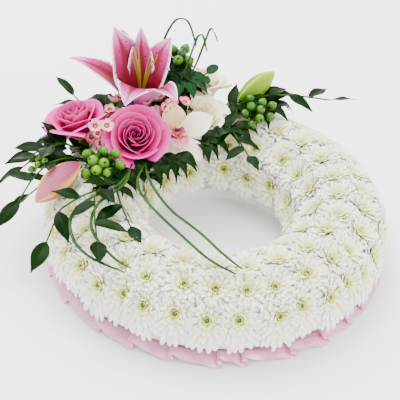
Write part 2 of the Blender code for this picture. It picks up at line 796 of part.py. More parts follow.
def strap(points, width, thick, rings=9):
    """A blade of grass along a smooth route: broad, thin, and tapered at its ends."""
    route = smooth_route(points, 41)

    def place(t, c, s):
        at = t * 40
        k = min(int(at), 39)
        spot = route[k].lerp(route[k + 1], at - k)
        ahead = (route[k + 1] - route[k]).normalized()
        side = ahead.cross(UP)
        side = side.normalized() if side.length > 0.05 else Vector((0, 1, 0))
        half = width / 2 * min(1.0, 0.45 + 3 * t, 0.35 + 4 * (1 - t)) if 0 < t < 1 else 0
        return spot + side * half * c + side.cross(ahead) * thick / 2 * s * (half * 2 / width)

    return spindle(4, rings, place)


def grass(name, blades, look):
    """Blades that leave one stem together and bend over side by side."""
    first = blades[0][0]
    route = rooted(first, (blades[0][1] - first), 0.0014)
    bodies = [tube(route, 0.0014)]
    first = route[-1] + (route[-2] - route[-1]).normalized() * 0.006
    for points in blades:
        for lift in (0, 3, 6, 9, 12, 16, 20, 25, 30):
            body = strap([first, *[p + UP * lift / 1000 for p in points[1:]]], 0.0042, 0.0010)
            if not crosses(body):
                bodies.append(body)
                break
        else:
            raise ValueError("a blade of grass crosses another piece")
    node(name, bodies, look)


def spray():
    rose("rose_pink_front", mm(-115, 70, 110), Vector((0.1, -0.6, 0.8)),
         ((4, 0.019, 0.052, 0.004), (5, 0.028, 0.046, 0.008)), rose_pink, (0.013, 0.048))
    rose("rose_pink_left", mm(-185, 76, 112), Vector((-0.30, 0.03, 0.95)),
         ((4, 0.018, 0.048, 0.003), (5, 0.026, 0.042, 0.007)), rose_pink, (0.012, 0.045))
    rose("rose_white_front", mm(-37, 141, 96), Vector((0.25, -0.30, 0.92)),
         ((4, 0.018, 0.045, 0.004), (5, 0.027, 0.038, 0.008)), cream, (0.012, 0.042))
    rose("rose_white_back", mm(-30, 190, 108), Vector((0.05, 0.25, 0.95)),
         ((3, 0.015, 0.044, 0.002), (4, 0.023, 0.042, 0.006)), cream, (0.011, 0.041))
    lily()
    orchid()
    lily_bud("lily_bud_pink", mm(-178, 0, 127), mm(-226, -68, 110), 0.033, bud_pink)
    lily_bud("lily_bud_green", mm(20, 170, 128), mm(71, 223, 146), 0.027, bud_green)
    random.seed(5)
    berry_cluster("berries_top", mm(-66, 192, 184), (0.0, -0.2, 0.98), mm(-66, 192, 166), 6,
                  0.0082, 0.013, berry)
    sprig("eucalyptus", (mm(-80, 140, 130), mm(-52, 158, 150), mm(-24, 178, 164)), 8, 0.020, 0.015,
          leaf_grey, 0.4)
    start = mm(-78, 172, 116)
    grass("grass_top", (
        (start, mm(-90, 166, 190), mm(-76, 180, 236), mm(-57, 186, 246), mm(-40, 168, 206)),
        (start, mm(-58, 166, 160), mm(-44, 172, 210), mm(-36, 176, 232), mm(-24, 164, 196)),
        (start, mm(-46, 168, 150), mm(-30, 180, 196), mm(-22, 186, 218), mm(-10, 174, 190))), leaf_grass)
    sprig("large_leaves", (mm(10, 186, 114), mm(34, 192, 118), mm(50, 194, 121)), 3, 0.050, 0.024,
          leaf_dark, 0.7)
    berry_cluster("berries_front", mm(-153, 6, 125), (-0.1, -0.25, 0.96), mm(-152, 14, 114.5), 12,
                  0.0086, 0.0135, berry)
    berry_cluster("berries_right", mm(48, 146, 130), (0.1, -0.4, 0.9), mm(46, 152, 118), 9,
                  0.0086, 0.0120, berry)
    berry_cluster("berries_left", mm(-236, 12, 112), (-0.5, -0.3, 0.8), mm(-226, 18, 104), 5,
                  0.0068, 0.009, berry)
    waxflower("waxflower_left", mm(-163, 72, 112), mm(-160, 80, 140), mm(26, 36, 14), 10, wax_pink)
    waxflower("waxflower_middle", mm(-66, 126, 112), mm(-66, 128, 142), mm(20, 20, 14), 5, wax_pink)
    random.seed(11)
    start = mm(-96, 10, 121)
    grass("grass_front_right", (
        (start, mm(-104, -31, 124), mm(-83, -78, 126), mm(-37, -135, 124), mm(0, -172, 119),
         mm(40, -186, 112)),
        (start, mm(-88, -30, 129), mm(-58, -90, 131), mm(-20, -128, 130), mm(12, -163, 124),
         mm(44, -186, 117))), leaf_grass)
    start = mm(-114, 8, 121)
    grass("grass_front_left", (
        (start, mm(-124, -38, 123), mm(-158, -66, 123), mm(-178, -100, 121), mm(-172, -138, 117),
         mm(-150, -168, 114), mm(-90, -196, 112)),
        (start, mm(-118, -44, 127), mm(-146, -76, 125), mm(-152, -120, 121), mm(-134, -152, 118),
         mm(-108, -180, 115), mm(-84, -190, 116))), leaf_grass)
    # Each sprig's route, its leaves and how long and wide they are
    for name, by, leaves, long_leaf, wide_leaf in (
            ("ruscus_01", (mm(-200, 44, 112), mm(-236, 16, 108), mm(-253.2, 2, 98)), 6, 0.044, 0.018),
            ("ruscus_02", (mm(-196, 0, 118), mm(-224, -26, 106), mm(-238, -36, 98)), 6, 0.044, 0.018),
            ("ruscus_03", (mm(-208, 0, 116), mm(-240, -36, 100), mm(-250, -52, 84)), 6, 0.044, 0.018),
            ("ruscus_04", (mm(-176, -66, 120), mm(-196, -112, 106), mm(-204, -128, 96)), 7, 0.044, 0.018),
            ("ruscus_05", (mm(-150, -60, 120), mm(-146, -118, 117), mm(-140, -150, 113)), 7, 0.044, 0.018),
            ("ruscus_06", (mm(-126, -30, 118), mm(-118, -74, 117), mm(-104, -102, 108)), 6, 0.044, 0.018),
            ("ruscus_07", (mm(6, 116, 117), mm(26, 78, 120), mm(38, 48, 120)), 6, 0.040, 0.015),
            ("ruscus_08", (mm(40, 174, 116), mm(90, 188, 118), mm(150, 182, 118)), 9, 0.042, 0.016),
            ("ruscus_09", (mm(-214, 66, 110), mm(-232, 44, 112), mm(-246, 36, 108)), 6, 0.042, 0.017),
            ("ruscus_10", (mm(-176, 128, 112), mm(-198, 150, 122), mm(-208, 160, 126)), 5, 0.040, 0.015),
            ("ruscus_11", (mm(-110, 176, 130), mm(-128, 196, 160), mm(-134, 204, 176)), 5, 0.040, 0.015),
            ("ruscus_12", (mm(-148, 112, 112), mm(-152, 108, 134)), 6, 0.042, 0.020),
            ("ruscus_13", (mm(-72, 152, 112), mm(-66, 152, 138)), 6, 0.042, 0.020),
            ("ruscus_14", (mm(-86, 46, 104), mm(-88, 26, 114)), 6, 0.044, 0.020),
            ("ruscus_15", (mm(-142, 22, 104), mm(-132, -6, 113)), 6, 0.044, 0.020)):
        sprig(name, by, leaves, long_leaf, wide_leaf, leaf_dark)


# Start

for old in list(bpy.data.objects):
    bpy.data.objects.remove(old)
wreath = bpy.data.collections.new("massed_wreath")
bpy.context.scene.collection.children.link(wreath)
cutters = bpy.data.collections.new("cutters")
bpy.context.scene.collection.children.link(cutters)
stem_section = triangle_section()
ring = bpy.data.objects.new("ring_centre", None)
ring.location = RING_CENTRE
wreath.objects.link(ring)

green = material("cut_stem", (0.12, 0.28, 0.08))
leaf_dark = material("ruscus_leaf", (0.04, 0.15, 0.05), 0.35)
leaf_grey = material("eucalyptus_leaf", (0.25, 0.36, 0.24))
leaf_grass = material("grass_blade", (0.22, 0.42, 0.10))
rose_pink = material("pink_rose_petal", (0.85, 0.25, 0.42))
cream = material("cream_petal", (0.93, 0.90, 0.74))
lily_pink = material("lily_tepal", (0.85, 0.35, 0.50))
gold = material("lily_filament", (0.70, 0.62, 0.18))
orchid_pink = material("orchid_lip_flesh", (0.72, 0.12, 0.30))
bud_pink = material("pink_bud_skin", (0.80, 0.40, 0.50))
bud_green = material("green_bud_skin", (0.35, 0.48, 0.16))
berry = material("berry_skin", (0.42, 0.52, 0.14), 0.3)
wax_pink = material("waxflower_petal", (0.90, 0.62, 0.68))

base_ring()
ribbon_skirt()
# The foam has no holes yet while the spray is placed, and is made again with them at the end
foam = foam_ring([])
solid_foam = tree_of(foam.data, CLEARANCE)
massed_heads()
spray()
bpy.data.objects.remove(foam)
foam_ring(holes)
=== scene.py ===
import math
import random

import bmesh
import bpy
from mathutils import Matrix, Vector


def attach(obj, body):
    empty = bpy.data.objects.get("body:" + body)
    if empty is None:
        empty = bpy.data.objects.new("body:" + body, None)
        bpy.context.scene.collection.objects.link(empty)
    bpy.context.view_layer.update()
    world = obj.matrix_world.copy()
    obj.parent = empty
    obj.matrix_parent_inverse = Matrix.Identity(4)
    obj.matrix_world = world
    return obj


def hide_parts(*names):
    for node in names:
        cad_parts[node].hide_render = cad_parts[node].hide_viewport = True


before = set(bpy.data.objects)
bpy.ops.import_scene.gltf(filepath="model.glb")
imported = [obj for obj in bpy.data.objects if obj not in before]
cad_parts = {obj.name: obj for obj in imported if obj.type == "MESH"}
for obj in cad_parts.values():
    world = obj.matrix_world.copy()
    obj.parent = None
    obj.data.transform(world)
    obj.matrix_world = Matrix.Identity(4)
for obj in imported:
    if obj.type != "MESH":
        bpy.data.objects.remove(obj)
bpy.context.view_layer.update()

UP = Vector((0, 0, 1))
rad = math.radians

# The view, the table and the light
# The wreath lies on a plain white table in a studio tent, and is seen from about the height of a
# person who stands at the table. The camera hangs turned a little, as it was held.

VIEW_CENTRE = Vector((0.0059, 0.0479, 0.0428))
CAMERA_SPOT = Vector((0.0059, -1.2351, 1.0265))
CAMERA_ROLL = 3.92

view = bpy.data.cameras.new("photo_view")
view.lens = 107.6
view.sensor_width = 36
camera = bpy.data.objects.new("photo_view", view)
bpy.context.scene.collection.objects.link(camera)
back = (CAMERA_SPOT - VIEW_CENTRE).normalized()
right = UP.cross(back).normalized()
turn = Matrix((right, back.cross(right), back)).transposed() @ Matrix.Rotation(rad(CAMERA_ROLL), 3, "Z")
camera.matrix_world = Matrix.Translation(CAMERA_SPOT) @ turn.to_4x4()
bpy.context.scene.camera = camera


def linear(hex_colour):
    """An sRGB colour such as #FFFFFF as the shader's linear one."""
    channels = [int(hex_colour[i:i + 2], 16) / 255 for i in (1, 3, 5)]
    return tuple(c / 12.92 if c <= 0.04045 else ((c + 0.055) / 1.055) ** 2.4 for c in channels) + (1,)


def add_node(tree, kind, settings=(), links=()):
    """Adds a node, with its settings, the values of its free sockets and its links."""
    made = tree.nodes.new(kind)
    for key, value in dict(settings).items():
        if key == "stops":
            ramp = made.color_ramp.elements
            ramp.remove(ramp[-1])
            ramp[0].position, ramp[0].color = value[0][0], linear(value[0][1])
            for place, colour in value[1:]:
                ramp.new(place).color = linear(colour)
        elif isinstance(key, int) or key in made.inputs:
            made.inputs[key].default_value = value
        else:
            setattr(made, key, value)
    for key, source in dict(links).items():
        tree.links.new(source, made.inputs[key])
    return made


def new_material(name, colour, sockets):
    """A material with these values on its shader, and the shader and its node tree."""
    made = bpy.data.materials.new(name)
    made.use_nodes = True
    shader = made.node_tree.nodes["Principled BSDF"]
    shader.inputs["Base Color"].default_value = linear(colour)
    for socket, value in sockets.items():
        shader.inputs[socket].default_value = value
    return made, made.node_tree, shader


# Matt painted board: an even near-white with no pattern that shows
table_paint, tree, shader = new_material("matt_painted_board", "#FDFDFD", {"Roughness": 0.85})
bpy.ops.object.select_all(action="DESELECT")
bpy.ops.mesh.primitive_plane_add(size=12)
table = bpy.context.object
table.name = "table"
table.data.materials.append(table_paint)

world = bpy.data.worlds.new("studio_tent")
world.use_nodes = True
world.node_tree.nodes["Background"].inputs["Color"].default_value = (1, 1, 1, 1)
world.node_tree.nodes["Background"].inputs["Strength"].default_value = 2.8
bpy.context.scene.world = world

for name, spot, size, power in (("top_panel", Vector((-0.5, 0.7, 1.7)), 1.4, 60),
                                ("side_panel", Vector((1.5, -0.9, 1.3)), 1.0, 24)):
    lamp = bpy.data.lights.new(name, "AREA")
    lamp.energy = power
    lamp.size = size
    holder = bpy.data.objects.new(name, lamp)
    holder.matrix_world = Matrix.Translation(spot) @ spot.to_track_quat("Z", "Y").to_matrix().to_4x4()
    bpy.context.scene.collection.objects.link(holder)

# The wreath frame
# A ring of white expanded polystyrene with a ring of wet floral foam on it, glued by its maker.
# The spray's stems are pushed into the foam, and the massed heads are pinned over it.

foam_board, tree, shader = new_material("expanded_polystyrene", "#F2F3F4", {"Roughness": 0.75})
# Moulded beads of about 3 mm, pressed flat against each other
place = add_node(tree, "ShaderNodeTexCoord").outputs["Object"]
beads = add_node(tree, "ShaderNodeTexVoronoi", {"Scale": 330}, {"Vector": place})
dents = add_node(tree, "ShaderNodeBump", {"Strength": 0.35, "Distance": 0.0004},
                 {"Height": beads.outputs["Distance"]})
tree.links.new(dents.outputs["Normal"], shader.inputs["Normal"])

wet_foam, tree, shader = new_material("wet_floral_foam", "#24452C", {"Roughness": 0.9})
# Open cells of well under 1 mm, drawn at 1 mm so that they show, and darker where more water stands
place = add_node(tree, "ShaderNodeTexCoord").outputs["Object"]
water = add_node(tree, "ShaderNodeTexNoise", {"Scale": 45, "Detail": 4}, {"Vector": place})
shade = add_node(tree, "ShaderNodeValToRGB", {"stops": ((0.35, "#16301F"), (0.7, "#2E5535"))},
                 {"Fac": water.outputs["Fac"]})
cells = add_node(tree, "ShaderNodeTexVoronoi", {"Scale": 900}, {"Vector": place})
pores = add_node(tree, "ShaderNodeBump", {"Strength": 0.5, "Distance": 0.0005},
                 {"Height": cells.outputs["Distance"]})
tree.links.new(shade.outputs["Color"], shader.inputs["Base Color"])
tree.links.new(pores.outputs["Normal"], shader.inputs["Normal"])

for node_name, look in (("base_ring", foam_board), ("foam_ring", wet_foam)):
    ring_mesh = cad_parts[node_name].data
    ring_mesh.materials.clear()
    ring_mesh.materials.append(look)

# The satin edge
# One length of 25 mm satin ribbon, pinned round the side of the base in knife pleats that fan out
# under the heads. Satin is a long-float weave: it shines across its threads, and folds softly.

RING_CENTRE = Vector((0.0280, 0.0, 0.0))
BASE_OUT, GAP = 0.203, 0.0003
PLEATS = 28
SKIRT_OUT = 0.226
PIN_HEIGHT, HEM_HEIGHT, PLEAT_DEPTH = 0.0125, 0.0035, 0.0115


def polar(radius, degrees, height=0.0):
    """A point at this radius and angle round the ring."""
    return Vector((radius * math.cos(rad(degrees)), radius * math.sin(rad(degrees)), height))


def shaped_sheet(columns, rows, place, thick):
    """A thin shape: a grid whose point at (across, along) goes to place(across, along), given its
    thickness. Across runs from -1 to 1 and along from 0 to 1. Returns points, faces and its map."""
    bpy.ops.object.select_all(action="DESELECT")
    bpy.ops.mesh.primitive_grid_add(x_subdivisions=columns, y_subdivisions=rows, size=2)
    sheet = bpy.context.object
    for v in sheet.data.vertices:
        v.co = place(v.co.x, (v.co.y + 1) / 2)
    wall = sheet.modifiers.new("thickness", "SOLIDIFY")
    wall.thickness = thick
    wall.offset = 0
    bpy.ops.object.modifier_apply(modifier=wall.name)
    return taken(sheet)


def taken(piece):
    """The points, faces and map of a piece that is modelled once, to be copied."""
    mesh = piece.data
    shape = ([v.co.copy() for v in mesh.vertices], [tuple(p.vertices) for p in mesh.polygons],
             [tuple(corner.uv) for corner in mesh.uv_layers.active.data])
    bpy.data.objects.remove(piece)
    return shape


def gathered(name, copies, looks, slot, nodes):
    """One piece from copies, each (shape, its points in place, tone or tones, which look)."""
    points, faces, corners, tones, which = [], [], [], [], []
    for shape, where, tone, look in copies:
        start = len(points)
        points += where
        faces += [tuple(start + i for i in face) for face in shape[1]]
        corners += shape[2]
        tones += tone if isinstance(tone, list) else [tone] * len(where)
        which += [look] * len(shape[1])
    mesh = bpy.data.meshes.new(name)
    mesh.from_pydata(points, [], faces)
    mesh.uv_layers.new(name="length").data.foreach_set("uv", [x for corner in corners for x in corner])
    mesh.attributes.new("tone", "FLOAT", "POINT").data.foreach_set("value", tones)
    for look in looks:
        mesh.materials.append(look)
    mesh.polygons.foreach_set("material_index", which)
    mesh.shade_smooth()
    mesh.set_sharp_from_angle(angle=rad(50))
    piece = bpy.data.objects.new(name, mesh)
    bpy.context.scene.collection.objects.link(piece)
    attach(piece, "root")
    if nodes:
        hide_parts(*nodes)
    return piece


def put(shape, matrix):
    return [matrix @ p for p in shape[0]]


def two_sided(shape, front, back):
    """A tone for each side of a thin shape."""
    half = len(shape[0]) // 2
    return [front] * half + [back] * half


satin, tree, shader = new_material("pink_satin", "#DC86B0", {
    "Roughness": 0.22, "Specular IOR Level": 1.0, "Anisotropic": 0.6})
# Warp floats of 0.3 mm run along the ribbon, drawn at 1 mm, some of them a slightly deeper pink
across_along = add_node(tree, "ShaderNodeUVMap", {"uv_map": "length"}).outputs["UV"]
threads = add_node(tree, "ShaderNodeMapping", {"Scale": (25, 3, 1)}, {"Vector": across_along})
floats = add_node(tree, "ShaderNodeTexNoise", {"Scale": 1.0, "Detail": 5}, {"Vector": threads.outputs["Vector"]})
hue = add_node(tree, "ShaderNodeValToRGB", {"stops": ((0.3, "#DA82AE"), (0.7, "#EBAECB"))},
               {"Fac": floats.outputs["Fac"]})
ridges = add_node(tree, "ShaderNodeBump", {"Strength": 0.15, "Distance": 0.0003}, {"Height": floats.outputs["Fac"]})
tree.links.new(hue.outputs["Color"], shader.inputs["Base Color"])
tree.links.new(ridges.outputs["Normal"], shader.inputs["Normal"])

random.seed(3)
pleat_wide = [random.uniform(0.7, 1.35) for _ in range(PLEATS)]
pleat_start = [360 * sum(pleat_wide[:i]) / sum(pleat_wide) for i in range(PLEATS + 1)]
pleat_lift = [random.uniform(0.55, 1.1) for _ in range(PLEATS)]
pleat_tuck = [random.uniform(1.3, 2.3) for _ in range(PLEATS)]
pleat_reach = [random.uniform(-0.003, 0.001) for _ in range(PLEATS)]


def ribbon_point(across, along):
    """The ribbon runs on down each pleat's broad face, then back under it and up to the next crest."""
    at = min(along * PLEATS, PLEATS - 0.0001)
    pleat = int(at)
    share = at - pleat
    swing = share - pleat_tuck[pleat] * math.sin(2 * math.pi * share) / (2 * math.pi)
    angle = pleat_start[pleat] + (pleat_start[pleat + 1] - pleat_start[pleat]) * swing
    out = (across + 1) / 2
    calm = math.sin(math.pi * share) ** 0.5
    height = 0.5 + 0.5 * math.sin(2 * math.pi * share) * (0.45 + 0.55 * calm)
    inner = BASE_OUT + GAP + 0.0006
    radius = inner + (SKIRT_OUT - 0.0012 - inner + pleat_reach[pleat] * calm - 0.0035 * height) * out
    low = PIN_HEIGHT - 0.001 + (HEM_HEIGHT - 0.0015 - PIN_HEIGHT) * out
    crest = height * PLEAT_DEPTH * pleat_lift[pleat] * (0.2 + 0.8 * out)
    arch = 0.0022 * math.sin(math.pi * out) * (0.4 + height)
    arch += 0.0018 * math.sin(2 * math.pi * (3.5 * share + pleat_lift[pleat]) + 2.5 * out) * out * calm
    return RING_CENTRE + polar(radius, angle, low + crest + arch)


bpy.ops.object.select_all(action="DESELECT")
ribbon_shape = shaped_sheet(8, PLEATS * 24, ribbon_point, 0.0004)
middle = [ribbon_point(0.0, i / (PLEATS * 24)) for i in range(PLEATS * 24 + 1)]
ribbon = gathered("satin_ribbon", [(ribbon_shape, ribbon_shape[0], 0.5, 0)], [satin], "pink_satin",
                  ["ribbon_skirt"])

# The massed heads
# Double white spray chrysanthemums, cut short and pinned side by side over the foam until nothing
# shows between them. Each has about a hundred florets round a green heart, pressed by its neighbours.

HEAD_RING, HEAD_HALF_WIDTH, HEAD_RISE, HEAD_FOOT = 0.162, 0.062, 0.072, 0.027
BED_RING, BED_HALF_WIDTH, BED_RISE = 0.159, 0.052, 0.050
# Each row's degrees round the section, and its heads. The spray's bed takes the place of some of them
ROWS = ((37, 36), (65, 30), (94, 24), (126, 19), (158, 16))
BED_START, BED_END, SECTOR = 90, 170, 40
HEAD_RADIUS, ROOT_ROOM = 0.0250, 0.0075


def facing(point, axis, twist=0.0):
    """The matrix that puts a shape's foot at a point with its own +Z along axis, turned by twist."""
    turned = Vector(axis).to_track_quat("Z", "Y").to_matrix().to_4x4()
    return Matrix.Translation(point) @ turned @ Matrix.Rotation(rad(twist), 4, "Z")


def section_point(ring_radius, half_width, rise, degrees, angle):
    """A point on an oval section, at degrees round it from its outer side."""
    return polar(ring_radius + half_width * math.cos(rad(degrees)), angle,
                 HEAD_FOOT + rise * math.sin(rad(degrees)))


def in_bed(angle, margin=0.0):
    return BED_START - margin < angle % 360 < BED_END + margin


def head_spots():
    """(centre, normal, twist, row, angle) of every head, row by row, each a little out of line."""
    random.seed(7)
    spots = []
    for row, (degrees, count) in enumerate(ROWS):
        for i in range(count):
            angle = (360 / count * (i + 0.5 * (row % 2)) + random.uniform(-1.6, 1.6)) % 360
            lean = degrees + random.uniform(-3, 3)
            twist = random.uniform(0, 360)
            keep = math.degrees(ROOT_ROOM / (HEAD_RING + HEAD_HALF_WIDTH * math.cos(rad(lean))))
            seam = SECTOR * round((angle - BED_START) / SECTOR) + BED_START
            if abs(angle - seam) < keep:
                angle = (seam + math.copysign(keep, angle - seam)) % 360
            if row in (1, 2, 3) and in_bed(angle, 2):
                continue
            centre = section_point(HEAD_RING, HEAD_HALF_WIDTH, HEAD_RISE, lean, angle)
            slope = Vector((math.cos(rad(lean)) / HEAD_HALF_WIDTH, 0, math.sin(rad(lean)) / HEAD_RISE))
            normal = (polar(slope.x, angle) + UP * slope.z).normalized()
            spots.append((RING_CENTRE + centre, normal, twist, row, angle))
    return spots


def leaf_outline(t, widest):
    """Half width, from 0 to 1, at share t of the length."""
    return math.sin(math.pi * t ** (math.log(0.5) / math.log(widest)))


def bent_line(length, start, end, power=1.0, steps=24):
    """(x, z, heading) along a line in the XZ plane, whose heading from +Z turns from start to end
    degrees."""
    x = z = 0.0
    points = [(x, z, rad(start))]
    for i in range(steps):
        heading = rad(start + (end - start) * ((i + 0.5) / steps) ** power)
        x += math.sin(heading) * length / steps
        z += math.cos(heading) * length / steps
        points.append((x, z, rad(start + (end - start) * ((i + 1) / steps) ** power)))
    return points


def along_line(line, t):
    at = min(1.0, max(0.0, t)) * (len(line) - 1)
    i = min(int(at), len(line) - 2)
    return [a + (b - a) * (at - i) for a, b in zip(line[i], line[i + 1])]


def shaped_round(sides, rings, place):
    """A closed shape from pole to pole: a sphere whose point at share t of its length, in the
    direction (c, s) round it, goes to place(t, c, s)."""
    bpy.ops.object.select_all(action="DESELECT")
    bpy.ops.mesh.primitive_uv_sphere_add(segments=sides, ring_count=rings + 1, radius=1)
    ball = bpy.context.object
    where = []
    for v in ball.data.vertices:
        t = math.acos(max(-1.0, min(1.0, -v.co.z))) / math.pi
        flat = math.hypot(v.co.x, v.co.y)
        c, s = (v.co.x / flat, v.co.y / flat) if flat > 1e-5 else (0.0, 0.0)
        where.append(((c + 1) / 2, t))
        v.co = place(t, c, s)
    for corner, loop in zip(ball.data.uv_layers.active.data, ball.data.loops):
        corner.uv = where[loop.vertex_index]
    bpy.ops.object.mode_set(mode="EDIT")
    bpy.ops.mesh.select_all(action="SELECT")
    bpy.ops.mesh.normals_make_consistent(inside=False)
    bpy.ops.object.mode_set(mode="OBJECT")
    return taken(ball)


def floret(length, width, start, end, cup, foot, foot_height):
    """One ray floret: a narrow, cupped blade, widest near its round end."""
    line = bent_line(length, start, end)

    def place(t, c, s):
        t = math.sin(t * math.pi / 2) ** 0.9
        x, z, heading = along_line(line, t)
        half = width / 2 * (0.32 + 0.68 * leaf_outline(t, 0.7) ** 0.7 if 0 < t < 1 else 0.25)
        lift = s * 0.0004 + cup * half * (c * c - 0.4)
        return Vector((foot + x - math.cos(heading) * lift, c * half,
                       foot_height + z + math.sin(heading) * lift))

    return shaped_round(4, 4, place)


# Each whorl of florets: how many, length, width, first and last heading from the head's axis
WHORLS = ((26, 0.0310, 0.0074, 60, 106), (25, 0.0290, 0.0068, 50, 92), (22, 0.0250, 0.0062, 40, 76),
          (19, 0.0200, 0.0054, 30, 60), (16, 0.0145, 0.0044, 18, 38), (10, 0.0085, 0.0032, 6, 8))
HANG_REACH, HANG_DROP, HANG_OUT = 0.0400, 0.0110, 0.221
FLORET_FOOT = -0.0045

random.seed(21)
florets = [[floret(length * stretch, width, start + tilt, end + tilt, 0.30, 0.0016 + 0.0002 * whorl,
                   FLORET_FOOT + 0.0004 * whorl)
            for stretch, tilt in ((0.94, 3), (1.0, -3), (1.05, 0))]
           for whorl, (count, length, width, start, end) in enumerate(WHORLS)]
heart = shaped_round(8, 4, lambda t, c, s: Vector((0.0031 * leaf_outline(t, 0.5) * c, 0.0031 * leaf_outline(t, 0.5) * s,
                                                  FLORET_FOOT + 0.0070 * t)))

white_floret, tree, shader = new_material("chrysanthemum_floret", "#F7F7F1", {
    "Roughness": 0.6, "Subsurface Weight": 0.5, "Subsurface Radius": (1.0, 0.9, 0.6), "Subsurface Scale": 0.004,
    "Specular IOR Level": 0.35})
# White towards the tip, and yellow green for the first quarter from the heart
length_map = add_node(tree, "ShaderNodeUVMap", {"uv_map": "length"}).outputs["UV"]
split = add_node(tree, "ShaderNodeSeparateXYZ", links={"Vector": length_map})
tone = add_node(tree, "ShaderNodeAttribute", {"attribute_name": "tone"}).outputs["Fac"]
reach = add_node(tree, "ShaderNodeMath", {"operation": "MULTIPLY_ADD", 2: 0.0}, {0: split.outputs["Y"], 1: tone})
blush = add_node(tree, "ShaderNodeValToRGB", {"stops": ((0.08, "#BAC640"), (0.17, "#E8E88E"), (0.38, "#FBF9D6"),
                                                       (0.85, "#FEFDF4"))}, {"Fac": reach.outputs["Value"]})
streaks = add_node(tree, "ShaderNodeTexWave", {"Scale": 3.0, "Distortion": 0.5}, {"Vector": length_map})
grooves = add_node(tree, "ShaderNodeBump", {"Strength": 0.12, "Distance": 0.0002}, {"Height": streaks.outputs["Fac"]})
tree.links.new(blush.outputs["Color"], shader.inputs["Base Color"])
tree.links.new(grooves.outputs["Normal"], shader.inputs["Normal"])

green_heart, tree, shader = new_material("chrysanthemum_heart", "#9DB53A", {"Roughness": 0.6})
# Tight unopened florets of 1 mm, darker between them
place = add_node(tree, "ShaderNodeTexCoord").outputs["Object"]
buds = add_node(tree, "ShaderNodeTexVoronoi", {"Scale": 900}, {"Vector": place})
hue = add_node(tree, "ShaderNodeValToRGB", {"stops": ((0.0, "#AEBE28"), (0.7, "#4E7A08"))},
               {"Fac": buds.outputs["Distance"]})
bumps = add_node(tree, "ShaderNodeBump", {"Strength": 0.6, "Distance": 0.0006, "invert": True},
                 {"Height": buds.outputs["Distance"]})
tree.links.new(hue.outputs["Color"], shader.inputs["Base Color"])
tree.links.new(bumps.outputs["Normal"], shader.inputs["Normal"])

packed_green, tree, shader = new_material("packed_calyx_and_stalk", "#A9B58A", {"Roughness": 0.8})
# Undersides of the heads, green cups and stalks about 8 mm apart
place = add_node(tree, "ShaderNodeTexCoord").outputs["Object"]
clumps = add_node(tree, "ShaderNodeTexNoise", {"Scale": 120, "Detail": 3}, {"Vector": place})
hue = add_node(tree, "ShaderNodeValToRGB", {"stops": ((0.35, "#B9C294"), (0.65, "#ECEEDC"))},
               {"Fac": clumps.outputs["Fac"]})
lumps = add_node(tree, "ShaderNodeBump", {"Strength": 0.8, "Distance": 0.002}, {"Height": clumps.outputs["Fac"]})
tree.links.new(hue.outputs["Color"], shader.inputs["Base Color"])
tree.links.new(lumps.outputs["Normal"], shader.inputs["Normal"])


def head(spot, others):
    """The copies that make one head. A floret that reaches a neighbour bends up along it."""
    centre, normal, twist, row, _ = spot
    frame_of = facing(centre, normal, twist)
    near = []
    for other in others:
        apart = other[0] - centre
        if 0 < apart.length < 2.3 * HEAD_RADIUS:
            near.append((apart.normalized(), apart.length / 2 + 0.0008))
    copies = []
    for whorl, (count, *_) in enumerate(WHORLS):
        for i in range(count):
            at = 360 / count * (i + random.uniform(-0.22, 0.22)) + 47 * whorl
            shape = florets[whorl][random.randrange(3)]
            down = max(0.0, -(frame_of.to_3x3() @ polar(1, at)).z) if row == 0 else 0.0
            hang = 1 + (HANG_REACH / WHORLS[0][1] - 1) * down ** 0.7
            turned = Matrix.Rotation(rad(at), 4, "Z") @ Matrix.Rotation(rad(random.uniform(-14, 14)), 4, "X")
            points = put(shape, frame_of @ turned @ Matrix.Diagonal((hang, 1 + 0.25 * down, 1, 1)))
            for towards, room in near:
                for p in points:
                    over = (p - centre).dot(towards) - room
                    if over > 0:
                        p += normal * (over * 0.4) - towards * (over * 0.6)
            if down:
                for p in points:
                    share = (p - centre).length / HANG_REACH
                    flat = p - RING_CENTRE
                    far = max(0.0, flat.xy.length - HANG_OUT) * 0.6 / flat.xy.length
                    p -= Vector((flat.x * far, flat.y * far, HANG_DROP * down * share * share))
            copies.append((shape, points, 1.25 - 0.19 * whorl + random.uniform(-0.1, 0.1), 0))
    copies.append((heart, put(heart, frame_of), 0.5, 1))
    return copies


spots = head_spots()
number = 0
for start in range(BED_START - 360, BED_START, SECTOR):
    number += 1
    parts = (("", -11, 188, range(5)),)
    if in_bed(start + SECTOR / 2):
        parts = (("_outer", -11, 45, (0, 1)), ("_inner", 135, 188, (3, 4)))
    for side, low, high, rows in parts:
        def bed_point(across, along):
            return RING_CENTRE + section_point(BED_RING, BED_HALF_WIDTH - 0.002, BED_RISE - 0.002,
                                               low + (high - low) * (across + 1) / 2, start + SECTOR * along)

        bed = shaped_sheet(max(4, (high - low) // 12), 10, bed_point, 0.002)
        copies = [(bed, bed[0], 0.5, 2)]
        for spot in spots:
            if spot[3] in rows and 0 <= (spot[4] - start) % 360 < SECTOR:
                copies += head(spot, spots)
        gathered(f"chrysanthemums_{number:02d}{side}", copies, [white_floret, green_heart, packed_green],
                 "white_petal", [f"massed_heads_{number:02d}{side}"])


def mm(x, y, z):
    """A point given in millimetres from the ring's own centre."""
    return RING_CENTRE + Vector((x, y, z)) / 1000


# The stems of the blooms
# Cut green stems, pushed into the foam. Each is one piece with the green cup that its bloom sits in.

green_stem, tree, shader = new_material("cut_stem_skin", "#143A04", {"Roughness": 0.45, "Specular IOR Level": 0.15})
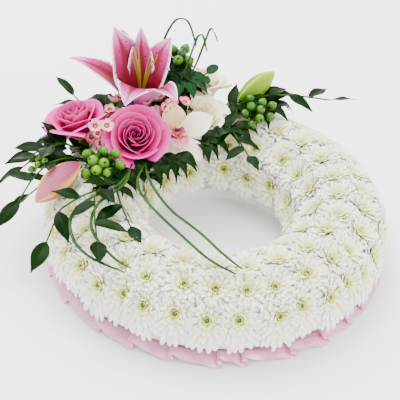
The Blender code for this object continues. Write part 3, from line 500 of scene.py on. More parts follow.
# Fresh waxy skin, paler in long patches of a few centimetres
place = add_node(tree, "ShaderNodeTexCoord").outputs["Object"]
patches = add_node(tree, "ShaderNodeTexNoise", {"Scale": 60, "Detail": 3}, {"Vector": place})
hue = add_node(tree, "ShaderNodeValToRGB", {"stops": ((0.3, "#0B2A03"), (0.7, "#2A5208"))},
               {"Fac": patches.outputs["Fac"]})
tree.links.new(hue.outputs["Color"], shader.inputs["Base Color"])


def rounded(bm, levels=1, fill=0.0006):
    """A CAD mesh with its corners rounded off, as a shape. Rounding thins it, and fill makes up for it."""
    bmesh.ops.holes_fill(bm, edges=bm.edges)
    bmesh.ops.recalc_face_normals(bm, faces=bm.faces)
    mesh = bpy.data.meshes.new("rounded")
    bm.to_mesh(mesh)
    bm.free()
    mesh.uv_layers.new(name="length")
    piece = bpy.data.objects.new("rounded", mesh)
    bpy.context.scene.collection.objects.link(piece)
    bpy.ops.object.select_all(action="DESELECT")
    bpy.context.view_layer.objects.active = piece
    piece.select_set(True)
    smooth = piece.modifiers.new("rounding", "SUBSURF")
    smooth.levels = levels
    swell = piece.modifiers.new("fill", "DISPLACE")
    swell.strength, swell.mid_level = fill, 0
    for modifier in (smooth, swell):
        bpy.ops.object.modifier_apply(modifier=modifier.name)
    return taken(piece)


def cad_mesh(node):
    bm = bmesh.new()
    bm.from_mesh(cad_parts[node].data)
    bmesh.ops.remove_doubles(bm, verts=bm.verts, dist=0.00001)
    return bm


for node_name in ("rose_pink_front_stem", "rose_pink_left_stem", "rose_white_front_stem",
                  "rose_white_back_stem", "lily_stem", "orchid_stem"):
    stem = rounded(cad_mesh(node_name), 2)
    gathered(node_name + "_skin", [(stem, stem[0], 0.5, 0)], [green_stem], "green_stem", [node_name])

# The roses
# Two pink and two cream hybrid tea roses. Each is a tight spiral of petals that open and roll back
# at their lips towards the outside.


def rose_petal(turn, spread, low, high, radius, flare, spiral, roll):
    """One petal wrapped round the +Z axis, from height low to high. Its lip rolls outwards."""
    phase = random.uniform(0, 6.28)

    def place(across, along):
        grip = min(1.0, 0.42 + 1.1 * along) * (1 - 0.14 * max(0.0, along - 0.8) / 0.2)
        angle = rad(turn + across * spread * grip)
        out = radius * (0.25 + 0.75 * math.sin(min(1.0, along * 1.15) * math.pi / 2)) + flare * along ** 4
        out += spiral * across + 0.0007 * math.sin(3 * across + phase) * along ** 3
        brim = 1 - 0.18 * across ** 4 + 0.025 * (1 - abs(across))
        height = low + (high - low) * along * brim - 0.003 * across * across * along
        lip = max(0.0, along - 0.72) / 0.28
        out += roll * math.sin(lip * math.pi * 0.55)
        height -= roll * 0.9 * lip * lip
        return Vector((out * math.cos(angle), out * math.sin(angle), height))

    return shaped_sheet(9, 12, place, 0.0005)


def rose_material(name, deep, middle_tone, lip, base):
    """Velvety petals: deeper low down, partly their own colour and partly painted shade inside the bloom, darker still
    in the heart as painted shade, palest along the lip, with fine veins that run up them.
    """
    made, tree, shader = new_material(name, middle_tone, {
        "Roughness": 0.6, "Specular IOR Level": 0.12, "Subsurface Weight": 0.2,
        "Subsurface Radius": (1.0, 0.4, 0.5), "Subsurface Scale": 0.002})
    length_map = add_node(tree, "ShaderNodeUVMap", {"uv_map": "length"}).outputs["UV"]
    split = add_node(tree, "ShaderNodeSeparateXYZ", links={"Vector": length_map})
    # Deeper low down: partly the petal's own colour, partly painted shade inside the bloom
    hue = add_node(tree, "ShaderNodeValToRGB", {"stops": ((0.0, base), (0.35, deep), (0.80, middle_tone), (1.0, lip))},
                   {"Fac": split.outputs["Y"]})
    tone = add_node(tree, "ShaderNodeAttribute", {"attribute_name": "tone"}).outputs["Fac"]
    # Each petal's tone multiplies it towards the deep colour: painted shade, most in the heart of the bloom
    hue_with_painted_heart_shade = add_node(tree, "ShaderNodeMix", {"data_type": "RGBA", "blend_type": "MULTIPLY", 7: linear(deep)},
                     {0: tone, 6: hue.outputs["Color"]})
    veins_map = add_node(tree, "ShaderNodeMapping", {"Scale": (26, 3, 1)}, {"Vector": length_map})
    veins = add_node(tree, "ShaderNodeTexNoise", {"Scale": 1.0, "Detail": 4}, {"Vector": veins_map.outputs["Vector"]})
    relief = add_node(tree, "ShaderNodeBump", {"Strength": 0.15, "Distance": 0.0004}, {"Height": veins.outputs["Fac"]})
    tree.links.new(hue_with_painted_heart_shade.outputs[2], shader.inputs["Base Color"])
    tree.links.new(relief.outputs["Normal"], shader.inputs["Normal"])
    return made


pink_rose = rose_material("pink_rose_petal", "#A40034", "#D0067C", "#DE54AA", "#CC8A78")
cream_rose = rose_material("cream_rose_petal", "#E2D89A", "#F2ECC4", "#F9F6E2", "#C4CE70")

# Each rose's name, foot, axis, radius, height and the height of its outer rim, look and slot
ROSES = (
    ("rose_pink_front", mm(-115, 70, 110), Vector((0.1, -0.6, 0.8)), 0.028, 0.052, 0.044, pink_rose, "pink_rose_petal"),
    ("rose_pink_left", mm(-185, 76, 112), Vector((-0.30, 0.03, 0.95)), 0.026, 0.048, 0.040, pink_rose, "pink_rose_petal"),
    ("rose_white_front", mm(-37, 141, 96), Vector((0.25, -0.30, 0.92)), 0.027, 0.046, 0.036, cream_rose, "cream_petal"),
    ("rose_white_back", mm(-30, 190, 108), Vector((0.05, 0.25, 0.95)), 0.023, 0.045, 0.040, cream_rose, "cream_petal"))
# Each row of a rose, from its heart outwards: petals, radius as a share of the whole, height over the
# outer rim as a share of the rise, flare and roll of the lip
ROSE_ROWS = ((2, 0.10, 0.55, 0.0, 0.0), (3, 0.19, 0.75, 0.0, 0.0004), (3, 0.29, 0.90, 0.0002, 0.0008),
             (4, 0.39, 1.00, 0.0006, 0.0014), (4, 0.50, 1.00, 0.0010, 0.0020), (4, 0.63, 0.92, 0.0020, 0.0032),
             (4, 0.81, 0.60, 0.0050, 0.0050), (4, 0.98, 0.15, 0.0100, 0.0065))

random.seed(31)
for name, foot, axis, wide, tall, low_rim, look, slot in ROSES:
    matrix = facing(foot, axis)
    copies = []
    for row, (count, share, rise, flare, roll) in enumerate(ROSE_ROWS):
        high = low_rim + (tall - low_rim) * rise
        for i in range(count):
            at = 360 / count * (i + random.uniform(-0.12, 0.12)) + 47 * row
            petal = rose_petal(at, min(100, 250 / count), 0.001, high * random.uniform(0.97, 1.03),
                               wide * share * random.uniform(0.96, 1.04), flare, 0.0012 + 0.0008 * share, roll)
            # The tone is the share of painted shade: most for the inner rows, none at the outer rim
            copies.append((petal, put(petal, matrix), 0.75 * (1 - share) ** 1.5, 0))
    gathered(name + "_bloom", copies, [look], slot, [name])

# The lily
# A pink stargazer: six tepals round a deep crimson throat. The lower ones roll back late at their tips.
# Its anthers are off, as florists take them before they stain.


def curled(length, width, start, end, power, cup, foot, widest=0.5, waist=1.0, wrap=0.0, ruffle=0.0,
           groove=0.0, columns=8, rows=18):
    """A thin petal on a bent line. It wraps round the axis for the share wrap of its length."""
    line = bent_line(length, start, end, power)
    phase = random.uniform(0, 6.28)

    def place(across, along):
        x, z, heading = along_line(line, along)
        half = width / 2 * leaf_outline(min(0.999, max(0.001, along)), widest) ** (waist if along < widest else 0.9)
        half = max(half, 0.0006)
        lift = cup * half * across * across - groove * math.exp(-(7 * across) ** 2)
        lift += ruffle * abs(across) ** 3 * math.sin(16 * along + phase + across)
        out = foot + x
        swing = min(1.3, half / out) * across
        held = max(0.0, 1 - along / wrap) if wrap else 0.0
        y = across * half * (1 - held) + out * math.sin(swing) * held
        out = out * (1 - held + held * math.cos(swing))
        return Vector((out - math.cos(heading) * lift, y, z + math.sin(heading) * lift))

    return shaped_sheet(columns, rows, place, 0.0007)


def route_point(points, t):
    """A point on a smooth curve through these points."""
    knots = [2 * points[0] - points[1], *points, 2 * points[-1] - points[-2]]
    at = min(0.9999, max(0.0, t)) * (len(points) - 1)
    a, b, c, d = knots[int(at):int(at) + 4]
    t = at - int(at)
    return 0.5 * (2 * b + (c - a) * t + (2 * a - 5 * b + 4 * c - d) * t * t
                  + (3 * b - a - 3 * c + d) * t ** 3)


def rod(points, radius, tip=1.0, sides=8, rings=10):
    """A round stalk through these points, whose radius falls to tip of itself."""
    whole = (points[-1] - points[0]).normalized()
    upright = Vector((1, 0, 0)) if abs(whole.z) > 0.7 else UP

    def place(t, c, s):
        t = min(1.0, max(0.0, (t * (rings + 1) - 1) / (rings - 1)))
        ahead = (route_point(points, t + 0.02) - route_point(points, t - 0.02)).normalized()
        side = ahead.cross(upright).normalized()
        thick = radius * (1 + (tip - 1) * t)
        return route_point(points, t) + (side * c + side.cross(ahead) * s) * thick

    return shaped_round(sides, rings, place)


lily_flesh, tree, shader = new_material("lily_tepal", "#B4507D", {
    "Roughness": 0.45, "Specular IOR Level": 0.2, "Subsurface Weight": 0.2, "Subsurface Radius": (1.0, 0.4, 0.5), "Subsurface Scale": 0.002})
# Inside: crimson low down and along the midrib, white at the margin, with dark raised spots of about
# 1.5 mm. Outside: pale pink with a yellow-green rib
length_map = add_node(tree, "ShaderNodeUVMap", {"uv_map": "length"}).outputs["UV"]
split = add_node(tree, "ShaderNodeSeparateXYZ", links={"Vector": length_map})
off_middle = add_node(tree, "ShaderNodeMath", {"operation": "SUBTRACT", 1: 0.5}, {0: split.outputs["X"]})
edge_share = add_node(tree, "ShaderNodeMath", {"operation": "ABSOLUTE"}, {0: off_middle.outputs["Value"]})
low_share = add_node(tree, "ShaderNodeValToRGB", {"stops": ((0.14, "#4A0010"), (0.48, "#78002C"), (0.78, "#A8186C"),
                                                           (0.98, "#D68EC2"))}, {"Fac": split.outputs["Y"]})
margin = add_node(tree, "ShaderNodeMapRange", {1: 0.39, 2: 0.5}, {0: edge_share.outputs["Value"]})
inside = add_node(tree, "ShaderNodeMix", {"data_type": "RGBA", 7: linear("#FAF0F3")},
                  {0: margin.outputs["Result"], 6: low_share.outputs["Color"]})
stripe_width = add_node(tree, "ShaderNodeMapRange", {1: 0.10, 2: 0.97, 3: 0.36, 4: 0.02}, {0: split.outputs["Y"]})
from_stripe = add_node(tree, "ShaderNodeMath", {"operation": "SUBTRACT"},
                       {0: stripe_width.outputs["Result"], 1: edge_share.outputs["Value"]})
stripe = add_node(tree, "ShaderNodeMapRange", {1: -0.06, 2: 0.06, 4: 0.95}, {0: from_stripe.outputs["Value"]})
striped = add_node(tree, "ShaderNodeMix", {"data_type": "RGBA", 7: linear("#680018")},
                   {0: stripe.outputs["Result"], 6: inside.outputs[2]})
spot_map = add_node(tree, "ShaderNodeMapping", {"Scale": (8, 24, 1)}, {"Vector": length_map})
spot_cells = add_node(tree, "ShaderNodeTexVoronoi", {"Scale": 1.0, "Randomness": 0.8}, {"Vector": spot_map.outputs["Vector"]})
spot = add_node(tree, "ShaderNodeMapRange", {1: 0.21, 2: 0.28, 3: 1.0, 4: 0.0}, {0: spot_cells.outputs["Distance"]})
spot_zone = add_node(tree, "ShaderNodeValToRGB", {"stops": ((0.14, "#000000"), (0.24, "#FFFFFF"), (0.80, "#FFFFFF"),
                                                           (0.92, "#000000"))}, {"Fac": split.outputs["Y"]})
spots_here = add_node(tree, "ShaderNodeMath", {"operation": "MULTIPLY"},
                      {0: spot.outputs["Result"], 1: spot_zone.outputs["Color"]})
spotted = add_node(tree, "ShaderNodeMix", {"data_type": "RGBA", 7: linear("#3E0018")},
                   {0: spots_here.outputs["Value"], 6: striped.outputs[2]})
outside = add_node(tree, "ShaderNodeValToRGB", {"stops": ((0.0, "#A8A030"), (0.12, "#A82484"), (0.45, "#C868AC"),
                                                         (0.95, "#E6C2D0"))}, {"Fac": split.outputs["Y"]})
rib = add_node(tree, "ShaderNodeMapRange", {1: 0.02, 2: 0.05, 3: 0.8, 4: 0.0}, {0: edge_share.outputs["Value"]})
ribbed = add_node(tree, "ShaderNodeMix", {"data_type": "RGBA", 7: linear("#A29843")},
                  {0: rib.outputs["Result"], 6: outside.outputs["Color"]})
side = add_node(tree, "ShaderNodeAttribute", {"attribute_name": "tone"}).outputs["Fac"]
both = add_node(tree, "ShaderNodeMix", {"data_type": "RGBA"},
                {0: side, 6: spotted.outputs[2], 7: ribbed.outputs[2]})
tree.links.new(both.outputs[2], shader.inputs["Base Color"])
raised = add_node(tree, "ShaderNodeBump", {"Strength": 0.5, "Distance": 0.0006}, {"Height": spots_here.outputs["Value"]})
tree.links.new(raised.outputs["Normal"], shader.inputs["Normal"])

LILY_FOOT, LILY_AXIS = mm(-112, 118, 125), Vector((0.05, -0.05, 1)).normalized()
# Each tepal's angle round the axis, length and width in mm, first and last heading, and the power
# that sets how late it curls
TEPALS = ((92, 126, 60, 10, 44, 1.0), (56, 120, 36, 6, 38, 1.0), (18, 120, 46, 8, 84, 1.8),
          (124, 128, 40, 12, 96, 1.0), (262, 124, 46, 10, 112, 2.0), (212, 122, 56, 6, 136, 2.1))
random.seed(41)
at_lily = facing(LILY_FOOT, LILY_AXIS)
copies = []
for at, length, width, start, end, power in TEPALS:
    broad = width > 50
    tepal = curled(length / 1000, width / 1000, start, end, power, 0.14, 0.0052 if broad else 0.0068, 0.5, 1.0,
                   0.42, 0.0016 if broad else 0.0008, 0.0008, 12, 26)
    copies.append((tepal, put(tepal, at_lily @ Matrix.Rotation(rad(at), 4, "Z")), two_sided(tepal, 1.0, 0.0), 0))
throat = shaped_round(12, 6, lambda t, c, s: Vector((0.0085 * leaf_outline(t, 0.6) * c,
                                                    0.0085 * leaf_outline(t, 0.6) * s, 0.020 * t)))
copies.append((throat, put(throat, at_lily), 1.0, 0))
gathered("lily_flower", copies, [lily_flesh], "lily_tepal", ["lily_tepals"])

filament_skin, tree, shader = new_material("lily_filament", "#767103", {"Roughness": 0.4})
# Green at the foot, gold towards the tip
split = add_node(tree, "ShaderNodeSeparateXYZ", links={
    "Vector": add_node(tree, "ShaderNodeUVMap", {"uv_map": "length"}).outputs["UV"]})
hue = add_node(tree, "ShaderNodeValToRGB", {"stops": ((0.1, "#6B7A03"), (0.9, "#847003"))}, {"Fac": split.outputs["Y"]})
tree.links.new(hue.outputs["Color"], shader.inputs["Base Color"])
stigma_skin, tree, shader = new_material("lily_stigma", "#332536", {"Roughness": 0.35})
# Sticky and dark, with fine grain
place = add_node(tree, "ShaderNodeTexCoord").outputs["Object"]
grain = add_node(tree, "ShaderNodeTexNoise", {"Scale": 1500}, {"Vector": place})
hue = add_node(tree, "ShaderNodeValToRGB", {"stops": ((0.3, "#221628"), (0.7, "#4A3C46"))}, {"Fac": grain.outputs["Fac"]})
tree.links.new(hue.outputs["Color"], shader.inputs["Base Color"])

copies = []
foot = Vector((0, 0, 0.0248))
for at, lean, tall, thick in ([(60 * i + 20, 0.017, 0.076, 0.0010) for i in range(6)] + [(135, 0.016, 0.088, 0.0015)]):
    out = polar(1, at)
    stalk = rod([foot - UP * 0.004, foot + UP * tall * 0.5 + out * lean * 0.35, foot + UP * tall + out * lean],
                thick, 0.75)
    copies.append((stalk, put(stalk, at_lily), 0.5, 0))
ovary = shaped_round(9, 5, lambda t, c, s: foot + Vector((0.0036 * leaf_outline(t, 0.5) * c,
                                                         0.0036 * leaf_outline(t, 0.5) * s, 0.012 * t - 0.001)))
copies.append((ovary, put(ovary, at_lily), 0.5, 0))


def stigma_point(t, c, s):
    lobes = 1 + 0.16 * math.cos(3 * math.atan2(s, c))
    half = 0.0037 * leaf_outline(t, 0.6) ** 0.6 * lobes
    return foot + polar(0.016, 135, 0.086 + 0.0055 * t) + Vector((half * c, half * s, 0))


stigma = shaped_round(15, 6, stigma_point)
copies.append((stigma, put(stigma, at_lily), 0.5, 1))
gathered("lily_filaments", copies, [filament_skin, stigma_skin], "lily_filament", ["lily_stamens"])

# The orchid
# A cymbidium bloom: five waxy cream tepals behind a three-lobed lip, which is blush pink with dark
# spots along its rim and two orange ridges, under a dark column with a cream cap.

orchid_wax, tree, shader = new_material("orchid_tepal", "#F1EDE0", {
    "Roughness": 0.4, "Specular IOR Level": 0.25, "Subsurface Weight": 0.25, "Subsurface Radius": (1.0, 0.8, 0.6), "Subsurface Scale": 0.003})
# Blush near the foot, cream over the rest, with fine veins along it
length_map = add_node(tree, "ShaderNodeUVMap", {"uv_map": "length"}).outputs["UV"]
split = add_node(tree, "ShaderNodeSeparateXYZ", links={"Vector": length_map})
hue = add_node(tree, "ShaderNodeValToRGB", {"stops": ((0.05, "#D8B088"), (0.35, "#EADFC0"), (0.8, "#F3EEDC"),
                                                     (1.0, "#EFE6CE"))}, {"Fac": split.outputs["Y"]})
tone = add_node(tree, "ShaderNodeAttribute", {"attribute_name": "tone"}).outputs["Fac"]
tinted = add_node(tree, "ShaderNodeMix", {"data_type": "RGBA", "blend_type": "MULTIPLY", 7: linear("#E0C090")},
                  {0: tone, 6: hue.outputs["Color"]})
vein_map = add_node(tree, "ShaderNodeMapping", {"Scale": (24, 2, 1)}, {"Vector": length_map})
veins = add_node(tree, "ShaderNodeTexNoise", {"Scale": 1.0, "Detail": 4}, {"Vector": vein_map.outputs["Vector"]})
relief = add_node(tree, "ShaderNodeBump", {"Strength": 0.2, "Distance": 0.0004}, {"Height": veins.outputs["Fac"]})
tree.links.new(tinted.outputs[2], shader.inputs["Base Color"])
tree.links.new(relief.outputs["Normal"], shader.inputs["Normal"])

ORCHID_SPOT, ORCHID_AXIS = mm(-61, 82, 120), Vector((0.14, -0.55, 0.82)).normalized()
at_orchid = facing(ORCHID_SPOT, ORCHID_AXIS)
random.seed(43)
copies = []
for at, length, width, tone in ((90, 44, 32, 0.9), (20, 56, 34, 0.1), (160, 43, 28, 0.3), (304, 50, 30, 0.2),
                                (236, 42, 28, 0.0)):
    tepal = curled(length / 1000, width / 1000, 55, 90, 1.0, 0.10, 0.003, 0.55, 0.7, 0.0, 0.0010, 0.0006, 10, 16)
    copies.append((tepal, put(tepal, at_orchid @ Matrix.Rotation(rad(at), 4, "Z")), tone, 0))
hub = shaped_round(10, 5, lambda t, c, s: Vector((0.0085 * leaf_outline(t, 0.5) * c, 0.0085 * leaf_outline(t, 0.5) * s,
                                                 0.014 * t - 0.006)))
copies.append((hub, put(hub, at_orchid), 0.3, 0))
gathered("orchid_flower", copies, [orchid_wax], "cream_petal", ["orchid_tepals"])

orchid_blush, tree, shader = new_material("orchid_lip_flesh", "#B97986", {"Roughness": 0.38, "Specular IOR Level": 0.2, "Subsurface Weight": 0.2,
                                                                     "Subsurface Scale": 0.002})
# Blush, deeper towards the foot, with maroon spots of 1.5 mm near the rim
length_map = add_node(tree, "ShaderNodeUVMap", {"uv_map": "length"}).outputs["UV"]
split = add_node(tree, "ShaderNodeSeparateXYZ", links={"Vector": length_map})
hue = add_node(tree, "ShaderNodeValToRGB", {"stops": ((0.0, "#C04A03"), (0.30, "#B83048"), (0.7, "#C87084"),
                                                     (1.0, "#DCA8B0"))}, {"Fac": split.outputs["Y"]})
spot_map = add_node(tree, "ShaderNodeMapping", {"Scale": (13, 17, 1)}, {"Vector": length_map})
spot_cells = add_node(tree, "ShaderNodeTexVoronoi", {"Scale": 1.0}, {"Vector": spot_map.outputs["Vector"]})
spot = add_node(tree, "ShaderNodeMapRange", {1: 0.30, 2: 0.42, 3: 1.0, 4: 0.0}, {0: spot_cells.outputs["Distance"]})
zone = add_node(tree, "ShaderNodeValToRGB", {"stops": ((0.60, "#000000"), (0.70, "#FFFFFF"))}, {"Fac": split.outputs["Y"]})
here = add_node(tree, "ShaderNodeMath", {"operation": "MULTIPLY"}, {0: spot.outputs["Result"], 1: zone.outputs["Color"]})
spotted = add_node(tree, "ShaderNodeMix", {"data_type": "RGBA", 7: linear("#4B0318")},
                   {0: here.outputs["Value"], 6: hue.outputs["Color"]})
tree.links.new(spotted.outputs[2], shader.inputs["Base Color"])
orchid_column, tree, shader = new_material("orchid_column", "#74032B", {"Roughness": 0.35})
# Maroon, with a cream cap over its last fifth
split = add_node(tree, "ShaderNodeSeparateXYZ", links={
    "Vector": add_node(tree, "ShaderNodeUVMap", {"uv_map": "length"}).outputs["UV"]})
hue = add_node(tree, "ShaderNodeValToRGB", {"stops": ((0.1, "#A35A62"), (0.35, "#740327"), (0.78, "#670324"),
                                                     (0.84, "#BDA581"))}, {"Fac": split.outputs["Y"]})
tree.links.new(hue.outputs["Color"], shader.inputs["Base Color"])
orange_ridge, tree, shader = new_material("orchid_ridge", "#BB4B03", {"Roughness": 0.4})
place = add_node(tree, "ShaderNodeTexCoord").outputs["Object"]
mottle = add_node(tree, "ShaderNodeTexNoise", {"Scale": 500}, {"Vector": place})
hue = add_node(tree, "ShaderNodeValToRGB", {"stops": ((0.35, "#B73303"), (0.65, "#C57603"))}, {"Fac": mottle.outputs["Fac"]})
tree.links.new(hue.outputs["Color"], shader.inputs["Base Color"])

at_lip = at_orchid @ Matrix.Translation((0, 0, 0.0083))
tongue = curled(0.034, 0.026, 25, 110, 1.6, 0.2, 0.001, 0.62, 0.8, 0.0, 0.0016, 0.0, 10, 14)
ear = curled(0.020, 0.018, 15, 40, 1.0, 0.4, 0.002, 0.6, 0.8, 0.0, 0.0004, 0.0, 8, 10)
copies = [(tongue, put(tongue, at_lip @ Matrix.Rotation(rad(268), 4, "Z")), 0.5, 0)]
for at in (205, 332):
    copies.append((ear, put(ear, at_lip @ Matrix.Rotation(rad(at), 4, "Z")), 0.5, 0))
column_line = bent_line(0.022, 5, -40)


def column_point(t, c, s):
    x, z, heading = along_line(column_line, t)
    half = 0.0042 * leaf_outline(min(0.999, max(0.001, t)), 0.7) ** 0.5 if 0 < t < 1 else 0.0
    return Vector((x - math.cos(heading) * half * 0.7 * s, half * c, z + math.sin(heading) * half * 0.7 * s))


column = shaped_round(10, 8, column_point)
copies.append((column, put(column, at_lip @ Matrix.Rotation(rad(270), 4, "Z")), 0.5, 1))
for side in (-0.0018, 0.0018):
    ridge = rod([Vector((side, -0.002, 0.006)), Vector((side * 1.3, -0.006, 0.013)), Vector((side, -0.012, 0.019))],
                0.0016, 0.6, 6, 6)
    copies.append((ridge, put(ridge, at_lip), 0.5, 2))
lip_foot = shaped_round(10, 5, lambda t, c, s: Vector((0.0058 * leaf_outline(t, 0.5) * c,
                                                      0.0058 * leaf_outline(t, 0.5) * s, 0.012 * t)))
copies.append((lip_foot, put(lip_foot, at_lip), 0.5, 0))
gathered("orchid_lip_and_column", copies, [orchid_blush, orchid_column, orange_ridge], "orchid_lip", ["orchid_lip"])

# The lily buds
# Two closed buds on their own stems: a pink one that is about to open, whose three tepals meet at
# raised yellow-green ribs, and a green one that is some days younger.


def bud_material(name, low, high, rib):
    made, tree, shader = new_material(name, high, {"Roughness": 0.45, "Specular IOR Level": 0.15, "Subsurface Weight": 0.15, "Subsurface Scale": 0.002})
    # Colour runs from the foot to the tip, in fine lines, with the ribs laid over it
    length_map = add_node(tree, "ShaderNodeUVMap", {"uv_map": "length"}).outputs["UV"]
    split = add_node(tree, "ShaderNodeSeparateXYZ", links={"Vector": length_map})
    hue = add_node(tree, "ShaderNodeValToRGB", {"stops": ((0.1, low), (0.9, high))}, {"Fac": split.outputs["Y"]})
    line_map = add_node(tree, "ShaderNodeMapping", {"Scale": (40, 2, 1)}, {"Vector": length_map})
    lines = add_node(tree, "ShaderNodeTexNoise", {"Scale": 1.0, "Detail": 3}, {"Vector": line_map.outputs["Vector"]})
    lined = add_node(tree, "ShaderNodeMix", {"data_type": "RGBA", "blend_type": "OVERLAY", 0: 0.5},
                     {6: hue.outputs["Color"], 7: lines.outputs["Fac"]})
    on_rib = add_node(tree, "ShaderNodeAttribute", {"attribute_name": "tone"}).outputs["Fac"]
    ribbed = add_node(tree, "ShaderNodeMix", {"data_type": "RGBA", 7: linear(rib)}, {0: on_rib, 6: lined.outputs[2]})
    tree.links.new(ribbed.outputs[2], shader.inputs["Base Color"])
    return made


def bare_stems(node, gone):
    """A CAD node's stems, rounded off, without the points that gone picks."""
    bm = cad_mesh(node)
    bmesh.ops.delete(bm, geom=[v for v in bm.verts if gone(v.co)], context="VERTS")
    return rounded(bm)


pink_bud = bud_material("pink_lily_bud", "#7E1656", "#A8646C", "#D8B61C")
green_bud = bud_material("green_lily_bud", "#3E7003", "#86A010", "#B4BE34")
BUDS = (("lily_bud_pink", mm(-178, 0, 127), mm(-226, -68, 110), 0.034, pink_bud, "pink_bud", 1.0, 17),
        ("lily_bud_green", mm(20, 170, 128), mm(71, 223, 146), 0.028, green_bud, "green_bud", 0.7, 100))
for name, root, tip, width, look, slot, rib_strength, twist in BUDS:
    axis, length = (tip - root).normalized(), (tip - root).length
    at_bud = facing(root, axis, twist)

    def bud_point(t, c, s):
        ribs = math.cos(3 * math.atan2(s, c))
        form = 1 + 0.06 * ribs + 0.06 * max(0.0, ribs) ** 12
        half = width / 2 * leaf_outline(t, 0.5) ** 0.75 * form if 0 < t < 1 else 0
        return Vector((c * half, s * half, length * t))

    bud = shaped_round(36, 18, bud_point)
    ribs = [rib_strength * max(0.0, math.cos(3 * math.atan2(p.y, p.x))) ** 7 for p in bud[0]]
    stem = bare_stems(name, lambda p: (p - root).dot(axis) > -0.002 and (p - root).cross(axis).length < 0.02)
    gathered(name + "_skin", [(bud, put(bud, at_bud), ribs, 0), (stem, stem[0], 0.0, 1)], [look, green_stem], slot, [name])

# The berries
# Four bunches of hypericum: glossy green berries with a dark point where the flower stood, each over
# five small sepals.

berry_skin, tree, shader = new_material("hypericum_berry", "#3E7003", {
    "Roughness": 0.2, "Specular IOR Level": 0.3, "Subsurface Weight": 0.12, "Subsurface Scale": 0.002})
# Green, lighter and yellower over the crown as painted light and darker beneath as painted shade, each berry in its own
# tone
split = add_node(tree, "ShaderNodeSeparateXYZ", links={
    "Vector": add_node(tree, "ShaderNodeUVMap", {"uv_map": "length"}).outputs["UV"]})
hue = add_node(tree, "ShaderNodeValToRGB", {"stops": ((0.1, "#1E5203"), (0.55, "#3E7A03"), (0.90, "#6E9A08"),
                                                     (0.955, "#172503"))}, {"Fac": split.outputs["Y"]})
tone = add_node(tree, "ShaderNodeAttribute", {"attribute_name": "tone"}).outputs["Fac"]
deeper = add_node(tree, "ShaderNodeMix", {"data_type": "RGBA", "blend_type": "MULTIPLY", 7: linear("#5A8830")},
                  {0: tone, 6: hue.outputs["Color"]})
tree.links.new(deeper.outputs[2], shader.inputs["Base Color"])


def berry_form(t, c, s):
    half = 0.5 * leaf_outline(t, 0.47) ** 0.72 if 0 < t < 1 else 0.0
    return Vector((c * half, s * half, t - 0.5 - 0.05 * max(0.0, t - 0.9) / 0.1 + (0.07 if t > 0.999 else 0)))


berry_ball = shaped_round(16, 11, berry_form)
sepal = shaped_sheet(2, 4, lambda across, along: Vector((
    0.12 + 0.42 * math.sin(along * 1.45), across * 0.15 * math.sin(math.pi * max(0.12, min(0.96, along))) ** 0.8,
    -0.54 + 0.34 * (1 - math.cos(along * 1.45)))), 0.04)


def fans(node, count, fits):
    """The pointed ends of a CAD node that this many faces meet at: (tip, the points round it)."""
    bm = cad_mesh(node)
    found = []
    for tip in bm.verts:
        rim = [e.other_vert(tip) for e in tip.link_edges]
        if len(rim) == count == len(tip.link_faces) and fits(tip, rim):
            found.append((tip.co.copy(), [v.co.copy() for v in rim]))
    bm.free()
    return found


def even_fan(tip, rim):
    centre = sum((v.co for v in rim), Vector()) / 5
    far = [(v.co - centre).length for v in rim]
    return 0.0033 < min(far) and max(far) < min(far) * 1.1 and (tip.co - centre).length < 0.006


def stalked(node):
    """Each berry or cup of a CAD node as (centre, axis, length, width), and its bare stalks."""
    found = []
    for tip, rim in fans(node, 5, even_fan):
        middle = sum(rim, Vector()) / 5
        axis = (tip - middle).normalized()
        length = (tip - middle).length / 0.26
        found.append((tip - axis * length / 2, axis, length, (rim[0] - middle).length / 0.40))
    stems = bare_stems(node, lambda p: any((p - c).dot(a) > -0.4 * l and (p - c).length < 0.62 * max(l, w)
                                           for c, a, l, w in found))
    return found, stems


random.seed(47)
# How deep a green each bunch is, from 0 to 1
for name, deep in (("berries_front", 0.15), ("berries_top", 0.7), ("berries_right", 0.7), ("berries_left", 0.1)):
    berries, stems = stalked(name)
    copies = [(stems, stems[0], 0.5, 1)]
    for centre, axis, length, width in berries:
        size = Matrix.Diagonal((width * 1.1, width * 1.1, length * 1.1, 1))
        matrix = facing(centre, axis, random.uniform(0, 72)) @ size
        copies.append((berry_ball, put(berry_ball, matrix), min(1.0, max(0.0, deep + random.uniform(-0.2, 0.3))), 0))
        for i in range(5):
            copies.append((sepal, put(sepal, matrix @ Matrix.Rotation(rad(72 * i), 4, "Z")), 0.5, 1))
    gathered(name + "_bunch", copies, [berry_skin, green_stem], "berry_skin", [name])

# The waxflowers
# Two twigs of waxflower: five waxy pink petals round a cream cup with a crimson ring in it.

wax_petal, tree, shader = new_material("waxflower_petal", "#C37892", {"Roughness": 0.4, "Specular IOR Level": 0.2, "Subsurface Weight": 0.2,
                                                                    "Subsurface Scale": 0.001})
# Cream at the foot, deep pink at the rim
split = add_node(tree, "ShaderNodeSeparateXYZ", links={
    "Vector": add_node(tree, "ShaderNodeUVMap", {"uv_map": "length"}).outputs["UV"]})
hue = add_node(tree, "ShaderNodeValToRGB", {"stops": ((0.15, "#E4D0A0"), (0.40, "#E0789C"), (0.85, "#C80A5A"))},
               {"Fac": split.outputs["Y"]})
tone = add_node(tree, "ShaderNodeAttribute", {"attribute_name": "tone"}).outputs["Fac"]
paler = add_node(tree, "ShaderNodeMix", {"data_type": "RGBA", 7: linear("#EBC4C0")}, {0: tone, 6: hue.outputs["Color"]})
tree.links.new(paler.outputs[2], shader.inputs["Base Color"])
wax_cup, tree, shader = new_material("waxflower_cup", "#889503", {"Roughness": 0.45})
